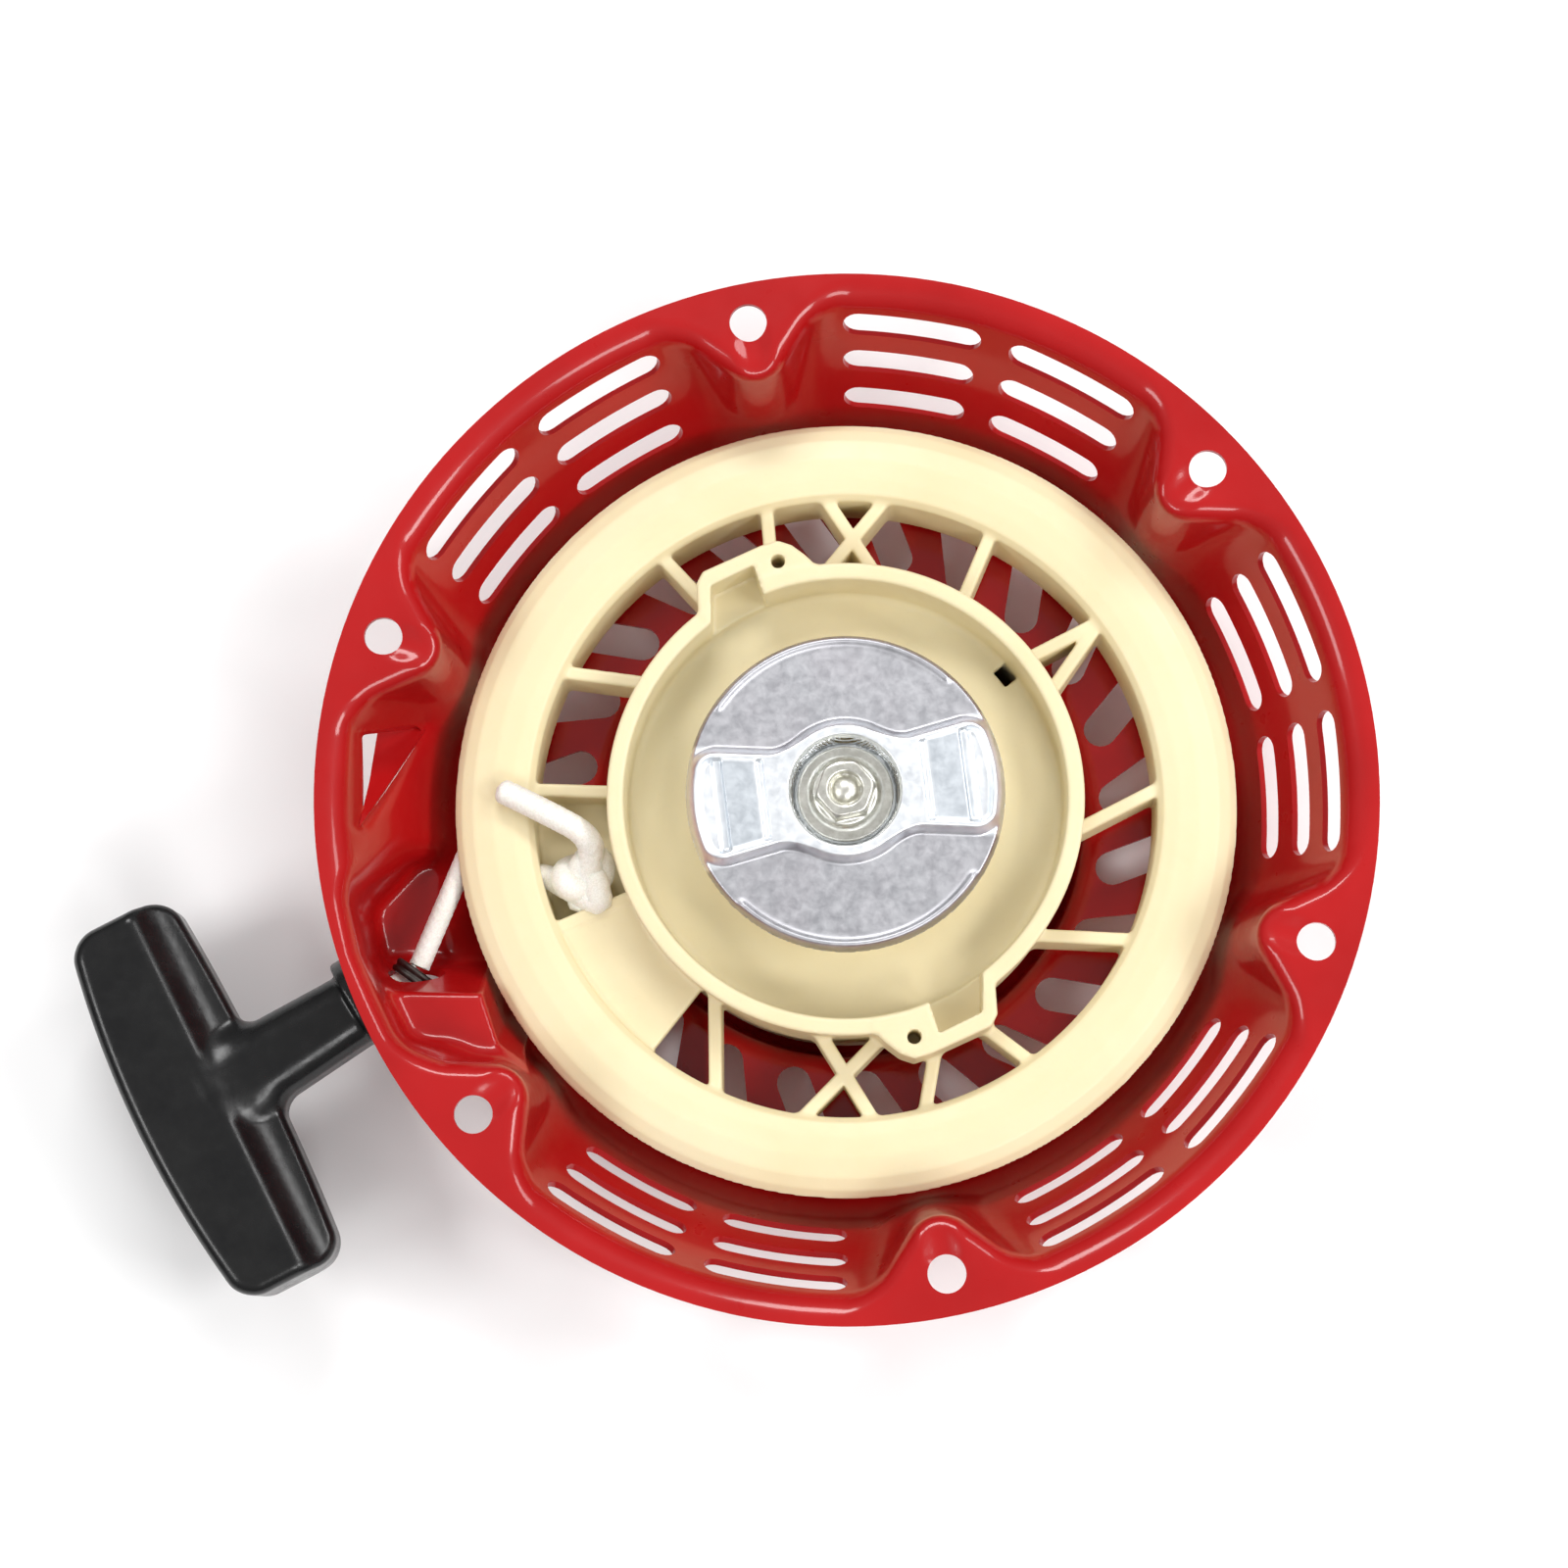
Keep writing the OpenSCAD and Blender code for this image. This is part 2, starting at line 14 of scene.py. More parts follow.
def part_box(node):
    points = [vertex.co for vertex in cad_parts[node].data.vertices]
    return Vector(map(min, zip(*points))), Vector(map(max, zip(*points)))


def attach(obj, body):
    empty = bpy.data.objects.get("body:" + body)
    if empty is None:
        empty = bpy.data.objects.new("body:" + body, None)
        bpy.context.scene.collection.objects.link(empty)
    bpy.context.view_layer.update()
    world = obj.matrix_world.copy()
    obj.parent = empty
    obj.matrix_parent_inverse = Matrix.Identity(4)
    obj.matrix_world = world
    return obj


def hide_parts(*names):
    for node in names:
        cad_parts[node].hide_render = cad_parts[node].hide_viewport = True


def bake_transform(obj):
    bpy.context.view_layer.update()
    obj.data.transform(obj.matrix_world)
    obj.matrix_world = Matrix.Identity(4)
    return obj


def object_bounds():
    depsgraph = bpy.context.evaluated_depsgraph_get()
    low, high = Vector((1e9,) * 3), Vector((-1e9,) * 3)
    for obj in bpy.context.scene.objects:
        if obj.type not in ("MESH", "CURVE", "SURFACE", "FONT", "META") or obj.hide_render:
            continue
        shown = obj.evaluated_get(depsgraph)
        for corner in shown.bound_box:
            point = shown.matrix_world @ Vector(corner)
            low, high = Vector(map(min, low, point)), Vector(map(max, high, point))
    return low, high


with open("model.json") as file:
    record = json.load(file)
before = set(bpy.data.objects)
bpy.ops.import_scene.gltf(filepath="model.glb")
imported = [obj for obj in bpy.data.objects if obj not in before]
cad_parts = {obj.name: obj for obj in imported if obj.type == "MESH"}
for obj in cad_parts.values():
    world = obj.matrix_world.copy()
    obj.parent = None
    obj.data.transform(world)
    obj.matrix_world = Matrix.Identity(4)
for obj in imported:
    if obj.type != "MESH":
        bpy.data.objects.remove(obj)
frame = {"nodes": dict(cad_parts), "record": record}
cad_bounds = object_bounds()

MM = 0.001

# ---- Driving sizes, as in the CAD model ----


def top_of(node, axis):
    """Highest coordinate of a CAD node along an axis, in millimetres."""
    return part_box(node)[1][axis] / MM


def low_of(node, axis):
    """Lowest coordinate of a CAD node along an axis, in millimetres."""
    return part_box(node)[0][axis] / MM


SHEET = 1.5
FLANGE_R = top_of("housing", 1)
HOUSING_LOW = low_of("housing", 2)
FLOOR_Z = -46.0
CUP_Z = HOUSING_LOW + SHEET
CONE_TOP_R = 114.9
CONE_BOTTOM_R = 91.9
CONE_SLOPE = (CONE_TOP_R - CONE_BOTTOM_R) / -FLOOR_Z
CONE_TILT = math.atan(CONE_SLOPE)
CUP_TOP_R = 57.5
CUP_BOTTOM_R = 55.5
BOLT_MOUNT = next(m for m in frame["record"]["mounts"] if m["name"] == "flange_bolts")
BOLT_CIRCLE_R = BOLT_MOUNT["dims"]["pcd_mm"] / 2
BOLT_HOLE_R = BOLT_MOUNT["dims"]["hole_r_mm"]
BOLT_ANGLE = 41.5
BOLT_COUNT = BOLT_MOUNT["dims"]["count"]
PAD_STEP = 360 / BOLT_COUNT
PAD_TIP_R = 98.3
PAD_ROUND = 8.5
PAD_SIDE_ANGLE = 43.5
PAD_FLARE = 0.13
ROOF_Z = -17.5
ROPE_R = 2.5
ROPE_Z = -31.0
EYELET = (-100.2, -38.7)
EYELET_HOLE_R = 5.5
OUTLET_ANGLE = 55
WINDING_R = 78.1
PULL_ANGLE = 211.5
REEL_R = top_of("reel", 1)
HUB_RIM_Z = top_of("reel", 2)
HUB_FLOOR_Z = -27.0
DECK_Z = -16.8
PLATE_Z = -5.7
PLATE_T = 1.5
BAND_RISE = 2.5
BAND_ANGLE = 7.0
DISH_Z = -10.8
GUIDE_R = 36.5
RING_R = 15.8
ARM_HALF = 10.4
ARM_HALF_AT = 13.0
ARM_FLARE = 0.163
PANEL_FROM = 19.6
PANEL_TO = 29.0
PANEL_INSET = 2.2


def polar(r, degrees):
    """Plan coordinates of a point at a radius and an angle."""
    return (r * math.cos(math.radians(degrees)), r * math.sin(math.radians(degrees)))


# ---- Distance functions: negative inside the material, in millimetres ----


def union(a, b, r):
    """Union whose inner corner is filled with radius r."""
    return np.maximum(r, np.minimum(a, b)) - np.hypot(np.maximum(r - a, 0), np.maximum(r - b, 0))


def common(a, b, r):
    """Intersection whose edge is rounded to radius r."""
    return np.minimum(-r, np.maximum(a, b)) + np.hypot(np.maximum(r + a, 0), np.maximum(r + b, 0))


def without(a, b, r):
    """First shape less the second, with the edge of the cut rounded to radius r."""
    return common(a, -b, r)


def slab(z, low, high):
    """Everything between two heights."""
    return np.abs(z - (low + high) / 2) - (high - low) / 2


def polygon(x, y, points):
    """Signed distance in the plane to a closed polygon."""
    near = np.full(np.broadcast(x, y).shape, 1e9)
    sign = np.ones_like(near)
    for (ax, ay), (bx, by) in zip(points, points[-1:] + points[:-1]):
        ex, ey = bx - ax, by - ay
        wx, wy = x - ax, y - ay
        t = np.clip((wx * ex + wy * ey) / (ex * ex + ey * ey), 0, 1)
        near = np.minimum(near, (wx - ex * t) ** 2 + (wy - ey * t) ** 2)
        above, below, side = y >= ay, y < by, ex * wy > ey * wx
        flips = (above & below & side) | (~above & ~below & ~side)
        sign = np.where(flips, -sign, sign)
    return sign * np.sqrt(near)


def segment(x, y, p, q):
    """Distance in the plane to the line from p to q."""
    ex, ey = q[0] - p[0], q[1] - p[1]
    t = np.clip(((x - p[0]) * ex + (y - p[1]) * ey) / (ex * ex + ey * ey), 0, 1)
    return np.hypot(x - p[0] - ex * t, y - p[1] - ey * t)


def wedge(x, y, half_angle):
    """Distance in the plane to a wedge that opens along +x from the origin."""
    c, s = math.cos(math.radians(half_angle)), math.sin(math.radians(half_angle))
    y = np.abs(y)
    along = x * c + y * s
    return np.where(along > 0, y * c - x * s, np.hypot(x, y))


def turned(x, y, degrees):
    """Coordinates in a frame turned by an angle about the reel's axis."""
    c, s = math.cos(math.radians(degrees)), math.sin(math.radians(degrees))
    return x * c + y * s, y * c - x * s


def sector_span(x, y, start, end):
    """Distance past the two sides of an angular sector, measured along its arc."""
    middle, half = (start + end) / 2, math.radians(end - start) / 2
    u, v = turned(x, y, middle)
    return np.hypot(x, y) * (np.abs(np.arctan2(v, u)) - half)


# ---- Meshes from distance functions ----

GRID = {"housing": 0.85, "reel": 0.62, "guide": 0.36, "pawl": 0.36, "screw": 0.3, "ferrule": 0.3,
        "grip": 0.62}
CORNERS = [(i, j, k) for i in (0, 1) for j in (0, 1) for k in (0, 1)]
CELL_EDGES = [
    (a, b) for a in range(8) for b in range(a + 1, 8)
    if sum(abs(CORNERS[a][i] - CORNERS[b][i]) for i in range(3)) == 1
]


def sampled(distance, axes):
    """Distances on a whole grid, worked out a few layers at a time."""
    y, z = axes[1][None, :, None], axes[2][None, None, :]
    shape = (len(axes[1]), len(axes[2]))
    slabs = []
    for x in np.array_split(axes[0], max(1, len(axes[0]) // 12)):
        values = distance(x[:, None, None], y, z)
        slabs.append(np.broadcast_to(values, (len(x),) + shape).astype(np.float32))
    return np.concatenate(slabs)


def surface_nets(values, axes):
    """Vertices and quads of the surface where the sampled distance is zero."""
    inside = values < 0
    n = values.shape
    count = np.zeros([m - 1 for m in n], np.uint8)
    for i, j, k in CORNERS:
        count += inside[i:n[0] - 1 + i, j:n[1] - 1 + j, k:n[2] - 1 + k]
    cells = np.argwhere((count > 0) & (count < 8))
    ids = np.full(count.shape, -1, np.int32)
    ids[tuple(cells.T)] = np.arange(len(cells))
    total = np.zeros((len(cells), 3))
    hits = np.zeros(len(cells))
    corner_values = [values[tuple((cells + c).T)] for c in CORNERS]
    for a, b in CELL_EDGES:
        va, vb = corner_values[a], corner_values[b]
        crossing = (va < 0) != (vb < 0)
        t = np.where(crossing, va / np.where(crossing, va - vb, 1), 0)
        start, step = np.array(CORNERS[a]), np.array(CORNERS[b]) - np.array(CORNERS[a])
        total += crossing[:, None] * (start + t[:, None] * step)
        hits += crossing
    grid = cells + total / hits[:, None]
    spacing = np.array([axis[1] - axis[0] for axis in axes])
    points = np.array([axis[0] for axis in axes]) + grid * spacing
    quads = []
    for axis in range(3):
        u, v = (axis + 1) % 3, (axis + 2) % 3
        low = [slice(None)] * 3
        high = [slice(None)] * 3
        low[axis], high[axis] = slice(0, -1), slice(1, None)
        crossing = np.argwhere(inside[tuple(low)] != inside[tuple(high)])
        keep = (crossing[:, u] > 0) & (crossing[:, v] > 0)
        keep &= (crossing[:, u] < n[u] - 1) & (crossing[:, v] < n[v] - 1)
        crossing = crossing[keep]
        du, dv = np.eye(3, dtype=int)[u], np.eye(3, dtype=int)[v]
        ring = [crossing - du - dv, crossing - dv, crossing, crossing - du]
        quad = np.stack([ids[tuple(c.T)] for c in ring], 1)
        solid_below = inside[tuple(crossing.T)]
        quads.append(np.where(solid_below[:, None], quad, quad[:, ::-1]))
    return points, np.concatenate(quads)


def settled(points, distance, step, rounds=3):
    """Moves each vertex onto the exact surface."""
    reach = 0.1 * step
    for _ in range(rounds):
        x, y, z = points.T
        d = distance(x, y, z)
        slope = np.stack([
            distance(x + reach, y, z) - distance(x - reach, y, z),
            distance(x, y + reach, z) - distance(x, y - reach, z),
            distance(x, y, z + reach) - distance(x, y, z - reach),
        ], 1) / (2 * reach)
        move = -d[:, None] * slope / np.maximum((slope ** 2).sum(1), 0.2)[:, None]
        length = np.linalg.norm(move, axis=1, keepdims=True)
        points = points + move * np.minimum(1, 0.5 * step / np.maximum(length, 1e-9))
    return points


def added(name, data):
    """New object in the scene."""
    obj = bpy.data.objects.new(name, data)
    bpy.context.scene.collection.objects.link(obj)
    return obj


def mesh_object(name, points, faces):
    """Mesh object from millimetre points."""
    mesh = bpy.data.meshes.new(name)
    mesh.from_pydata((np.asarray(points) * MM).tolist(), [], [list(map(int, f)) for f in faces])
    mesh.validate()
    mesh.update()
    return added(name, mesh)


def shaped(name, distance, low, high, step, rounds=3):
    """Mesh object of the surface of a distance function inside a box."""
    axes = [np.arange(a, b + step, step) for a, b in zip(low, high)]
    points, quads = surface_nets(sampled(distance, axes), axes)
    return mesh_object(name, settled(points, distance, step, rounds), quads)


def smooth(obj, sharp_angle=40):
    """Smooth shading that keeps edges sharper than an angle."""
    obj.data.shade_smooth()
    obj.data.set_sharp_from_angle(angle=math.radians(sharp_angle))
    return obj


def applied(obj, modifier_type, **settings):
    """Applies one modifier to an object's mesh."""
    modifier = obj.modifiers.new("step", modifier_type)
    for key, value in settings.items():
        setattr(modifier, key, value)
    bpy.context.view_layer.update()
    graph = bpy.context.evaluated_depsgraph_get()
    mesh = bpy.data.meshes.new_from_object(obj.evaluated_get(graph))
    obj.modifiers.remove(modifier)
    old = obj.data
    obj.data = mesh
    bpy.data.meshes.remove(old)
    return obj


def cut(obj, tool, operation="DIFFERENCE"):
    """Cuts one object with another, which is used up."""
    applied(obj, "BOOLEAN", object=tool, operation=operation, solver="MANIFOLD")
    bpy.data.objects.remove(tool)
    return obj


def joined(name, objects):
    """One object from several, as they stand."""
    bm = bmesh.new()
    for obj in objects:
        bm.from_mesh(obj.data)
        bpy.data.objects.remove(obj)
    mesh = bpy.data.meshes.new(name)
    bm.to_mesh(mesh)
    bm.free()
    return added(name, mesh)


def merged(obj, distance):
    """Welds vertices closer than a distance in millimetres."""
    bm = bmesh.new()
    bm.from_mesh(obj.data)
    bmesh.ops.remove_doubles(bm, verts=bm.verts, dist=distance * MM)
    bmesh.ops.dissolve_degenerate(bm, edges=bm.edges, dist=distance * MM)
    bmesh.ops.recalc_face_normals(bm, faces=bm.faces)
    bm.to_mesh(obj.data)
    bm.free()
    return obj


def prism(name, outline, low, high, matrix=None):
    """Closed prism of a plan outline, from z low to z high, in millimetres."""
    n = len(outline)
    points = [(x, y, low) for x, y in outline] + [(x, y, high) for x, y in outline]
    faces = [list(range(n))[::-1], list(range(n, 2 * n))]
    faces += [[i, (i + 1) % n, n + (i + 1) % n, n + i] for i in range(n)]
    if matrix is not None:
        points = [tuple(matrix @ Vector(p)) for p in points]
    return mesh_object(name, points, faces)


def arc(cx, cy, r, start, end, steps):
    """Points along an arc between two angles in degrees."""
    offsets = [polar(r, start + (end - start) * k / steps) for k in range(steps + 1)]
    return [(cx + x, cy + y) for x, y in offsets]


def stadium(length, width, steps=10):
    """Outline of a slot with round ends, long axis along Y."""
    r, reach = width / 2, (length - width) / 2
    return arc(0, reach, r, 0, 180, steps) + arc(0, -reach, r, 180, 360, steps)


def rounded_outline(corners, radius, steps=6):
    """Polygon outline with each corner rounded."""
    out = []
    n = len(corners)
    for i in range(n):
        b = Vector(corners[i])
        u = (Vector(corners[i - 1]) - b).normalized()
        v = (Vector(corners[(i + 1) % n]) - b).normalized()
        half = math.acos(max(-1, min(1, u.dot(v)))) / 2
        reach = radius / math.tan(half)
        centre = b + (u + v).normalized() * radius / math.sin(half)
        start = b + u * reach - centre
        end = b + v * reach - centre
        a0, a1 = math.atan2(start.y, start.x), math.atan2(end.y, end.x)
        turn = (a1 - a0 + math.pi) % (2 * math.pi) - math.pi
        for k in range(steps + 1):
            a = a0 + turn * k / steps
            out.append((centre.x + radius * math.cos(a), centre.y + radius * math.sin(a)))
    return out


# ---- Materials ----


def set_stops(node, stops):
    """Fills a colour ramp with (position, colour) stops."""
    elements = node.color_ramp.elements
    while len(elements) < len(stops):
        elements.new(0.5)
    for element, (position, colour) in zip(elements, stops):
        element.position = position
        element.color = (*colour, 1)


class Nodes:
    """Short hands for building one material's node tree."""

    def __init__(self, name):
        self.material = bpy.data.materials.new(name)
        self.material.use_nodes = True
        self.tree = self.material.node_tree
        self.shader = self.tree.nodes["Principled BSDF"]
        self.coordinates = self.tree.nodes.new("ShaderNodeTexCoord").outputs["Object"]

    def node(self, kind, **inputs):
        """New shader node with some of its inputs set."""
        node = self.tree.nodes.new("ShaderNode" + kind)
        for key, value in inputs.items():
            node.inputs[key.replace("_", " ")].default_value = value
        return node

    def link(self, a, b):
        """Joins an output to an input."""
        self.tree.links.new(a, b)

    def feed(self, socket, value):
        """Gives an input another node's output, a number or a colour."""
        if hasattr(value, "is_linked"):
            self.link(value, socket)
        elif isinstance(value, tuple):
            socket.default_value = (*value, 1)
        else:
            socket.default_value = value

    def drive(self, name, value):
        """Gives an input of the main shader another node's output."""
        self.link(value, self.shader.inputs[name])

    def set(self, **values):
        """Sets plain values on the main shader."""
        for key, value in values.items():
            self.shader.inputs[key.replace("_", " ")].default_value = value

    def noise(self, scale, detail=3.0, roughness=0.5, distortion=0.0, stretch=None):
        """Cloudy pattern, which may be stretched along an axis."""
        node = self.node("TexNoise", Scale=scale, Detail=detail, Roughness=roughness, Distortion=distortion)
        place = self.coordinates
        if stretch is not None:
            mapping = self.node("Mapping", Scale=stretch)
            self.link(self.coordinates, mapping.inputs["Vector"])
            place = mapping.outputs["Vector"]
        self.link(place, node.inputs["Vector"])
        return node.outputs["Fac"]

    def cells(self, scale):
        """Distance to the nearest point of a pattern of cells."""
        node = self.node("TexVoronoi", Scale=scale)
        self.link(self.coordinates, node.inputs["Vector"])
        return node.outputs["Distance"]

    def ramp(self, factor, stops):
        """Colour that follows a factor through (position, colour) stops."""
        node = self.node("ValToRGB")
        set_stops(node, stops)
        self.link(factor, node.inputs["Fac"])
        return node.outputs["Color"]

    def span(self, factor, low, high, start=0.3, end=0.7):
        """Number from low to high while the factor goes from start to end."""
        node = self.node("MapRange", From_Min=start, From_Max=end, To_Min=low, To_Max=high)
        self.link(factor, node.inputs["Value"])
        return node.outputs["Result"]

    def maths(self, operation, *values):
        """Result of one arithmetic node on sockets or plain numbers."""
        node = self.node("Math")
        node.operation = operation
        for socket, value in zip(node.inputs, values):
            self.feed(socket, value)
        return node.outputs["Value"]

    def mix(self, factor, a, b):
        """Colour between two, by a factor."""
        node = self.node("Mix")
        node.data_type = "RGBA"
        for index, value in ((0, factor), (6, a), (7, b)):
            self.feed(node.inputs[index], value)
        return node.outputs[2]

    def bump(self, height, strength, distance, normal=None):
        """Shading normal of a small relief, on top of another if one is given."""
        node = self.node("Bump", Strength=strength, Distance=distance)
        self.link(height, node.inputs["Height"])
        if normal is not None:
            self.link(normal, node.inputs["Normal"])
        return node.outputs["Normal"]


def red_paint():
    """Glossy stoved enamel with faint orange peel."""
    n = Nodes("red_paint")
    n.set(Coat_Weight=0.6, Coat_Roughness=0.10, Coat_IOR=1.5, IOR=1.5, Specular_IOR_Level=0.10)
    cloud = n.noise(28, 4)
    colour = n.ramp(cloud, [(0.3, (0.345, 0.0035, 0.004)), (0.7, (0.425, 0.006, 0.007))])
    n.drive("Base Color", colour)
    n.drive("Roughness", n.span(n.noise(160, 3), 0.27, 0.40))
    peel = n.bump(n.noise(520, 2), 0.10, 0.0003)
    n.drive("Normal", n.bump(n.noise(2600, 2), 0.04, 0.0001, peel))
    return n.material


def cream_nylon():
    """Moulded cream nylon, satin, a little cloudy, with fine moulding texture."""
    n = Nodes("cream_nylon")
    n.set(Subsurface_Weight=0.12, Subsurface_Scale=0.004, IOR=1.5, Specular_IOR_Level=0.42)
    n.shader.inputs["Subsurface Radius"].default_value = (1.0, 0.75, 0.4)
    flow = n.noise(22, 5, 0.55, 0.6)
    creams = [(0.3, (0.735, 0.635, 0.395)), (0.55, (0.76, 0.67, 0.43)), (0.8, (0.78, 0.705, 0.475))]
    colour = n.ramp(flow, creams)
    specks = n.span(n.noise(900, 2, 0.6), 0.0, 0.10, 0.62, 0.78)
    n.drive("Base Color", n.mix(specks, colour, (0.60, 0.48, 0.27)))
    n.drive("Roughness", n.span(n.noise(240, 3), 0.36, 0.52))
    grain = n.bump(n.noise(1500, 3), 0.08, 0.00015)
    n.drive("Normal", n.bump(n.noise(60, 2), 0.05, 0.001, grain))
    return n.material


def band_mask(n):
    """Two factors from the guide plate's own coordinates: its raised band, which carries the painted
    highlight, and the band's sunk panels, which carry painted shade.
    """
    turn = n.node("Mapping", Rotation=(0, 0, math.radians(-BAND_ANGLE)))
    n.link(n.coordinates, turn.inputs["Vector"])
    split = n.node("SeparateXYZ")
    n.link(turn.outputs["Vector"], split.inputs["Vector"])
    reach = n.maths("ABSOLUTE", split.outputs["X"])
    side = n.maths("ABSOLUTE", split.outputs["Y"])
    arm_half = n.maths("MULTIPLY_ADD", reach, ARM_FLARE, (ARM_HALF - ARM_HALF_AT * ARM_FLARE) * MM)
    past_arm = n.maths("SUBTRACT", side, arm_half)
    square = n.maths("ADD", n.maths("MULTIPLY", reach, reach), n.maths("MULTIPLY", side, side))
    past_ring = n.maths("SUBTRACT", n.maths("SQRT", square), RING_R * MM)
    band = n.span(n.maths("MINIMUM", past_arm, past_ring), 1, 0, 0.2 * MM, 1.2 * MM)
    past_near = n.span(reach, 0, 1, PANEL_FROM * MM, (PANEL_FROM + 0.8) * MM)
    short_of_far = n.span(reach, 1, 0, (PANEL_TO - 1.0) * MM, PANEL_TO * MM)
    inside_edge = n.span(past_arm, 1, 0, (-PANEL_INSET - 0.8) * MM, -PANEL_INSET * MM)
    panel = n.maths("MULTIPLY", n.maths("MULTIPLY", past_near, short_of_far), inside_edge)
    return band, panel


def bright_zinc():
    """Zinc-plated steel with a fine grain and faint stains, painted darker and greyer on the lobes as
    painted shade and brighter on the raised band as painted highlight, with painted shade in the band's
    sunk panels.
    """
    n = Nodes("bright_zinc")
    n.set(Metallic=1.0)
    spangle = n.noise(420, 4, 0.6, 0.3)
    stain = n.noise(60, 4, 0.6)
    band, panel = band_mask(n)
    # painted light: a darker, greyer copy of the zinc on the lobes is painted shade, and a brighter copy on
    # the raised band is painted highlight
    lobe_grain_and_shade = n.ramp(spangle, [(0.3, (0.44, 0.445, 0.475)), (0.7, (0.55, 0.555, 0.58))])
    band_grain_and_highlight = n.ramp(spangle, [(0.3, (0.84, 0.875, 0.92)), (0.7, (0.93, 0.95, 0.97))])
    lobe_stain_and_shade = n.mix(n.span(stain, 0.0, 0.35), lobe_grain_and_shade, (0.60, 0.56, 0.60))
    # painted shade: the band's sunk panels are mixed towards a darker blue-grey
    band_highlight_and_panel_shade = n.mix(n.maths("MULTIPLY", panel, 0.55), band_grain_and_highlight, (0.50, 0.56, 0.62))
    n.drive("Base Color", n.mix(band, lobe_stain_and_shade, band_highlight_and_panel_shade))
    n.drive("Roughness", n.span(spangle, 0.38, 0.50))
    dents = n.bump(n.noise(190, 3), 0.10, 0.0004)
    n.drive("Normal", n.bump(n.noise(900, 2), 0.04, 0.00012, dents))
    return n.material


def plated_screw():
    """Zinc plate with a faint yellow tone and turning marks."""
    n = Nodes("plated_screw")
    n.set(Metallic=1.0)
    marks = n.noise(900, 3, 0.6)
    colour = n.ramp(marks, [(0.3, (0.64, 0.63, 0.56)), (0.7, (0.82, 0.81, 0.75))])
    n.drive("Base Color", colour)
    n.drive("Roughness", n.span(n.noise(300, 3), 0.28, 0.42))
    n.drive("Normal", n.bump(n.noise(1300, 3), 0.08, 0.0002))
    return n.material


def plain_steel(name, dark, light, rough):
    """Bare or oiled steel with fine streaks."""
    n = Nodes(name)
    n.set(Metallic=1.0)
    streak = n.noise(420, 4, 0.6, 0.0, (1, 1, 0.12))
    n.drive("Base Color", n.ramp(streak, [(0.3, dark), (0.7, light)]))
    n.drive("Roughness", n.span(streak, rough, rough + 0.16))
    n.drive("Normal", n.bump(n.noise(1500, 3), 0.08, 0.0002))
    return n.material


def black_grip():
    """Black moulded grip, semi-gloss, with a fine leathery skin."""
    n = Nodes("black_grip")
    n.set(IOR=1.5, Specular_IOR_Level=0.36)
    cloud = n.noise(90, 4)
    colour = n.ramp(cloud, [(0.3, (0.0045, 0.0045, 0.005)), (0.7, (0.009, 0.009, 0.009))])
    n.drive("Base Color", colour)
    n.drive("Roughness", n.span(n.noise(330, 3), 0.20, 0.30))
    skin = n.bump(n.cells(950), 0.04, 0.0002)
    n.drive("Normal", n.bump(n.noise(240, 2), 0.04, 0.0005, skin))
    return n.material


def white_rope():
    """White braided nylon with fine fibres."""
    n = Nodes("white_rope")
    n.set(Sheen_Weight=0.25, Sheen_Roughness=0.5, Subsurface_Weight=0.08, Subsurface_Scale=0.001)
    fibre = n.noise(2600, 3, 0.6)
    soil = n.noise(120, 3)
    colour = n.ramp(fibre, [(0.25, (0.70, 0.68, 0.61)), (0.6, (0.87, 0.86, 0.81))])
    n.drive("Base Color", n.mix(n.span(soil, 0.0, 0.2), colour, (0.72, 0.66, 0.52)))
    n.drive("Roughness", n.span(fibre, 0.62, 0.8))
    n.drive("Normal", n.bump(fibre, 0.35, 0.0002))
    return n.material


def studio_floor():
    """Matt white paper."""
    n = Nodes("studio_floor")
    n.set(Roughness=0.9, Specular_IOR_Level=0.1)
    colour = n.ramp(n.noise(3, 2), [(0.3, (0.93, 0.93, 0.93)), (0.7, (0.95, 0.95, 0.95))])
    n.drive("Base Color", colour)
    return n.material


RED = red_paint()
CREAM = cream_nylon()
ZINC = bright_zinc()
SCREW = plated_screw()
STEEL = plain_steel("bright_steel", (0.48, 0.48, 0.48), (0.68, 0.68, 0.68), 0.24)
SPRING = plain_steel("spring_steel", (0.16, 0.165, 0.18), (0.30, 0.30, 0.31), 0.28)
PAWL = plain_steel("pawl_steel", (0.20, 0.195, 0.19), (0.34, 0.33, 0.32), 0.36)
# near-black steel for the ferrule: painted shade round the rope's outlet
FERRULE_PAINTED_SHADE = plain_steel("ferrule_painted_shade", (0.045, 0.04, 0.037), (0.09, 0.08, 0.075), 0.42)
BLACK = black_grip()
WHITE = white_rope()


def piece(obj, body, material, slot_name, *nodes, sharp=40):
    """Finishes a visible piece: material, shading, body, and hides the CAD nodes it stands for. slot_name
    is not used.
    """
    obj.data.materials.clear()
    obj.data.materials.append(material)
    smooth(obj, sharp)
    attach(obj, body)
    if nodes:
        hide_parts(*nodes)
    return obj


# ---- Housing ----

BULGE_CORE = [(-84, -17), (-98, -18), (-104.5, -25), (-102.5, -34.5), (-95, -50), (-84, -44)]
BULGE_ROUND = 7.0
BULGE_FLOOR_Z = -40.5
OUTLET_BOX = [(-118, -44.5), (-83.5, -45.0), (-79.5, -56.5), (-74.5, -61.5), (-84, -82), (-130, -60)]
BOX_LEAN = 0.42
WINDOW = [(-98.4, 20.2), (-111.2, 14.3), (-110.8, -6.8)]
WINDOW_LIP = 1.1
WINDOW_LIP_W = 3.2


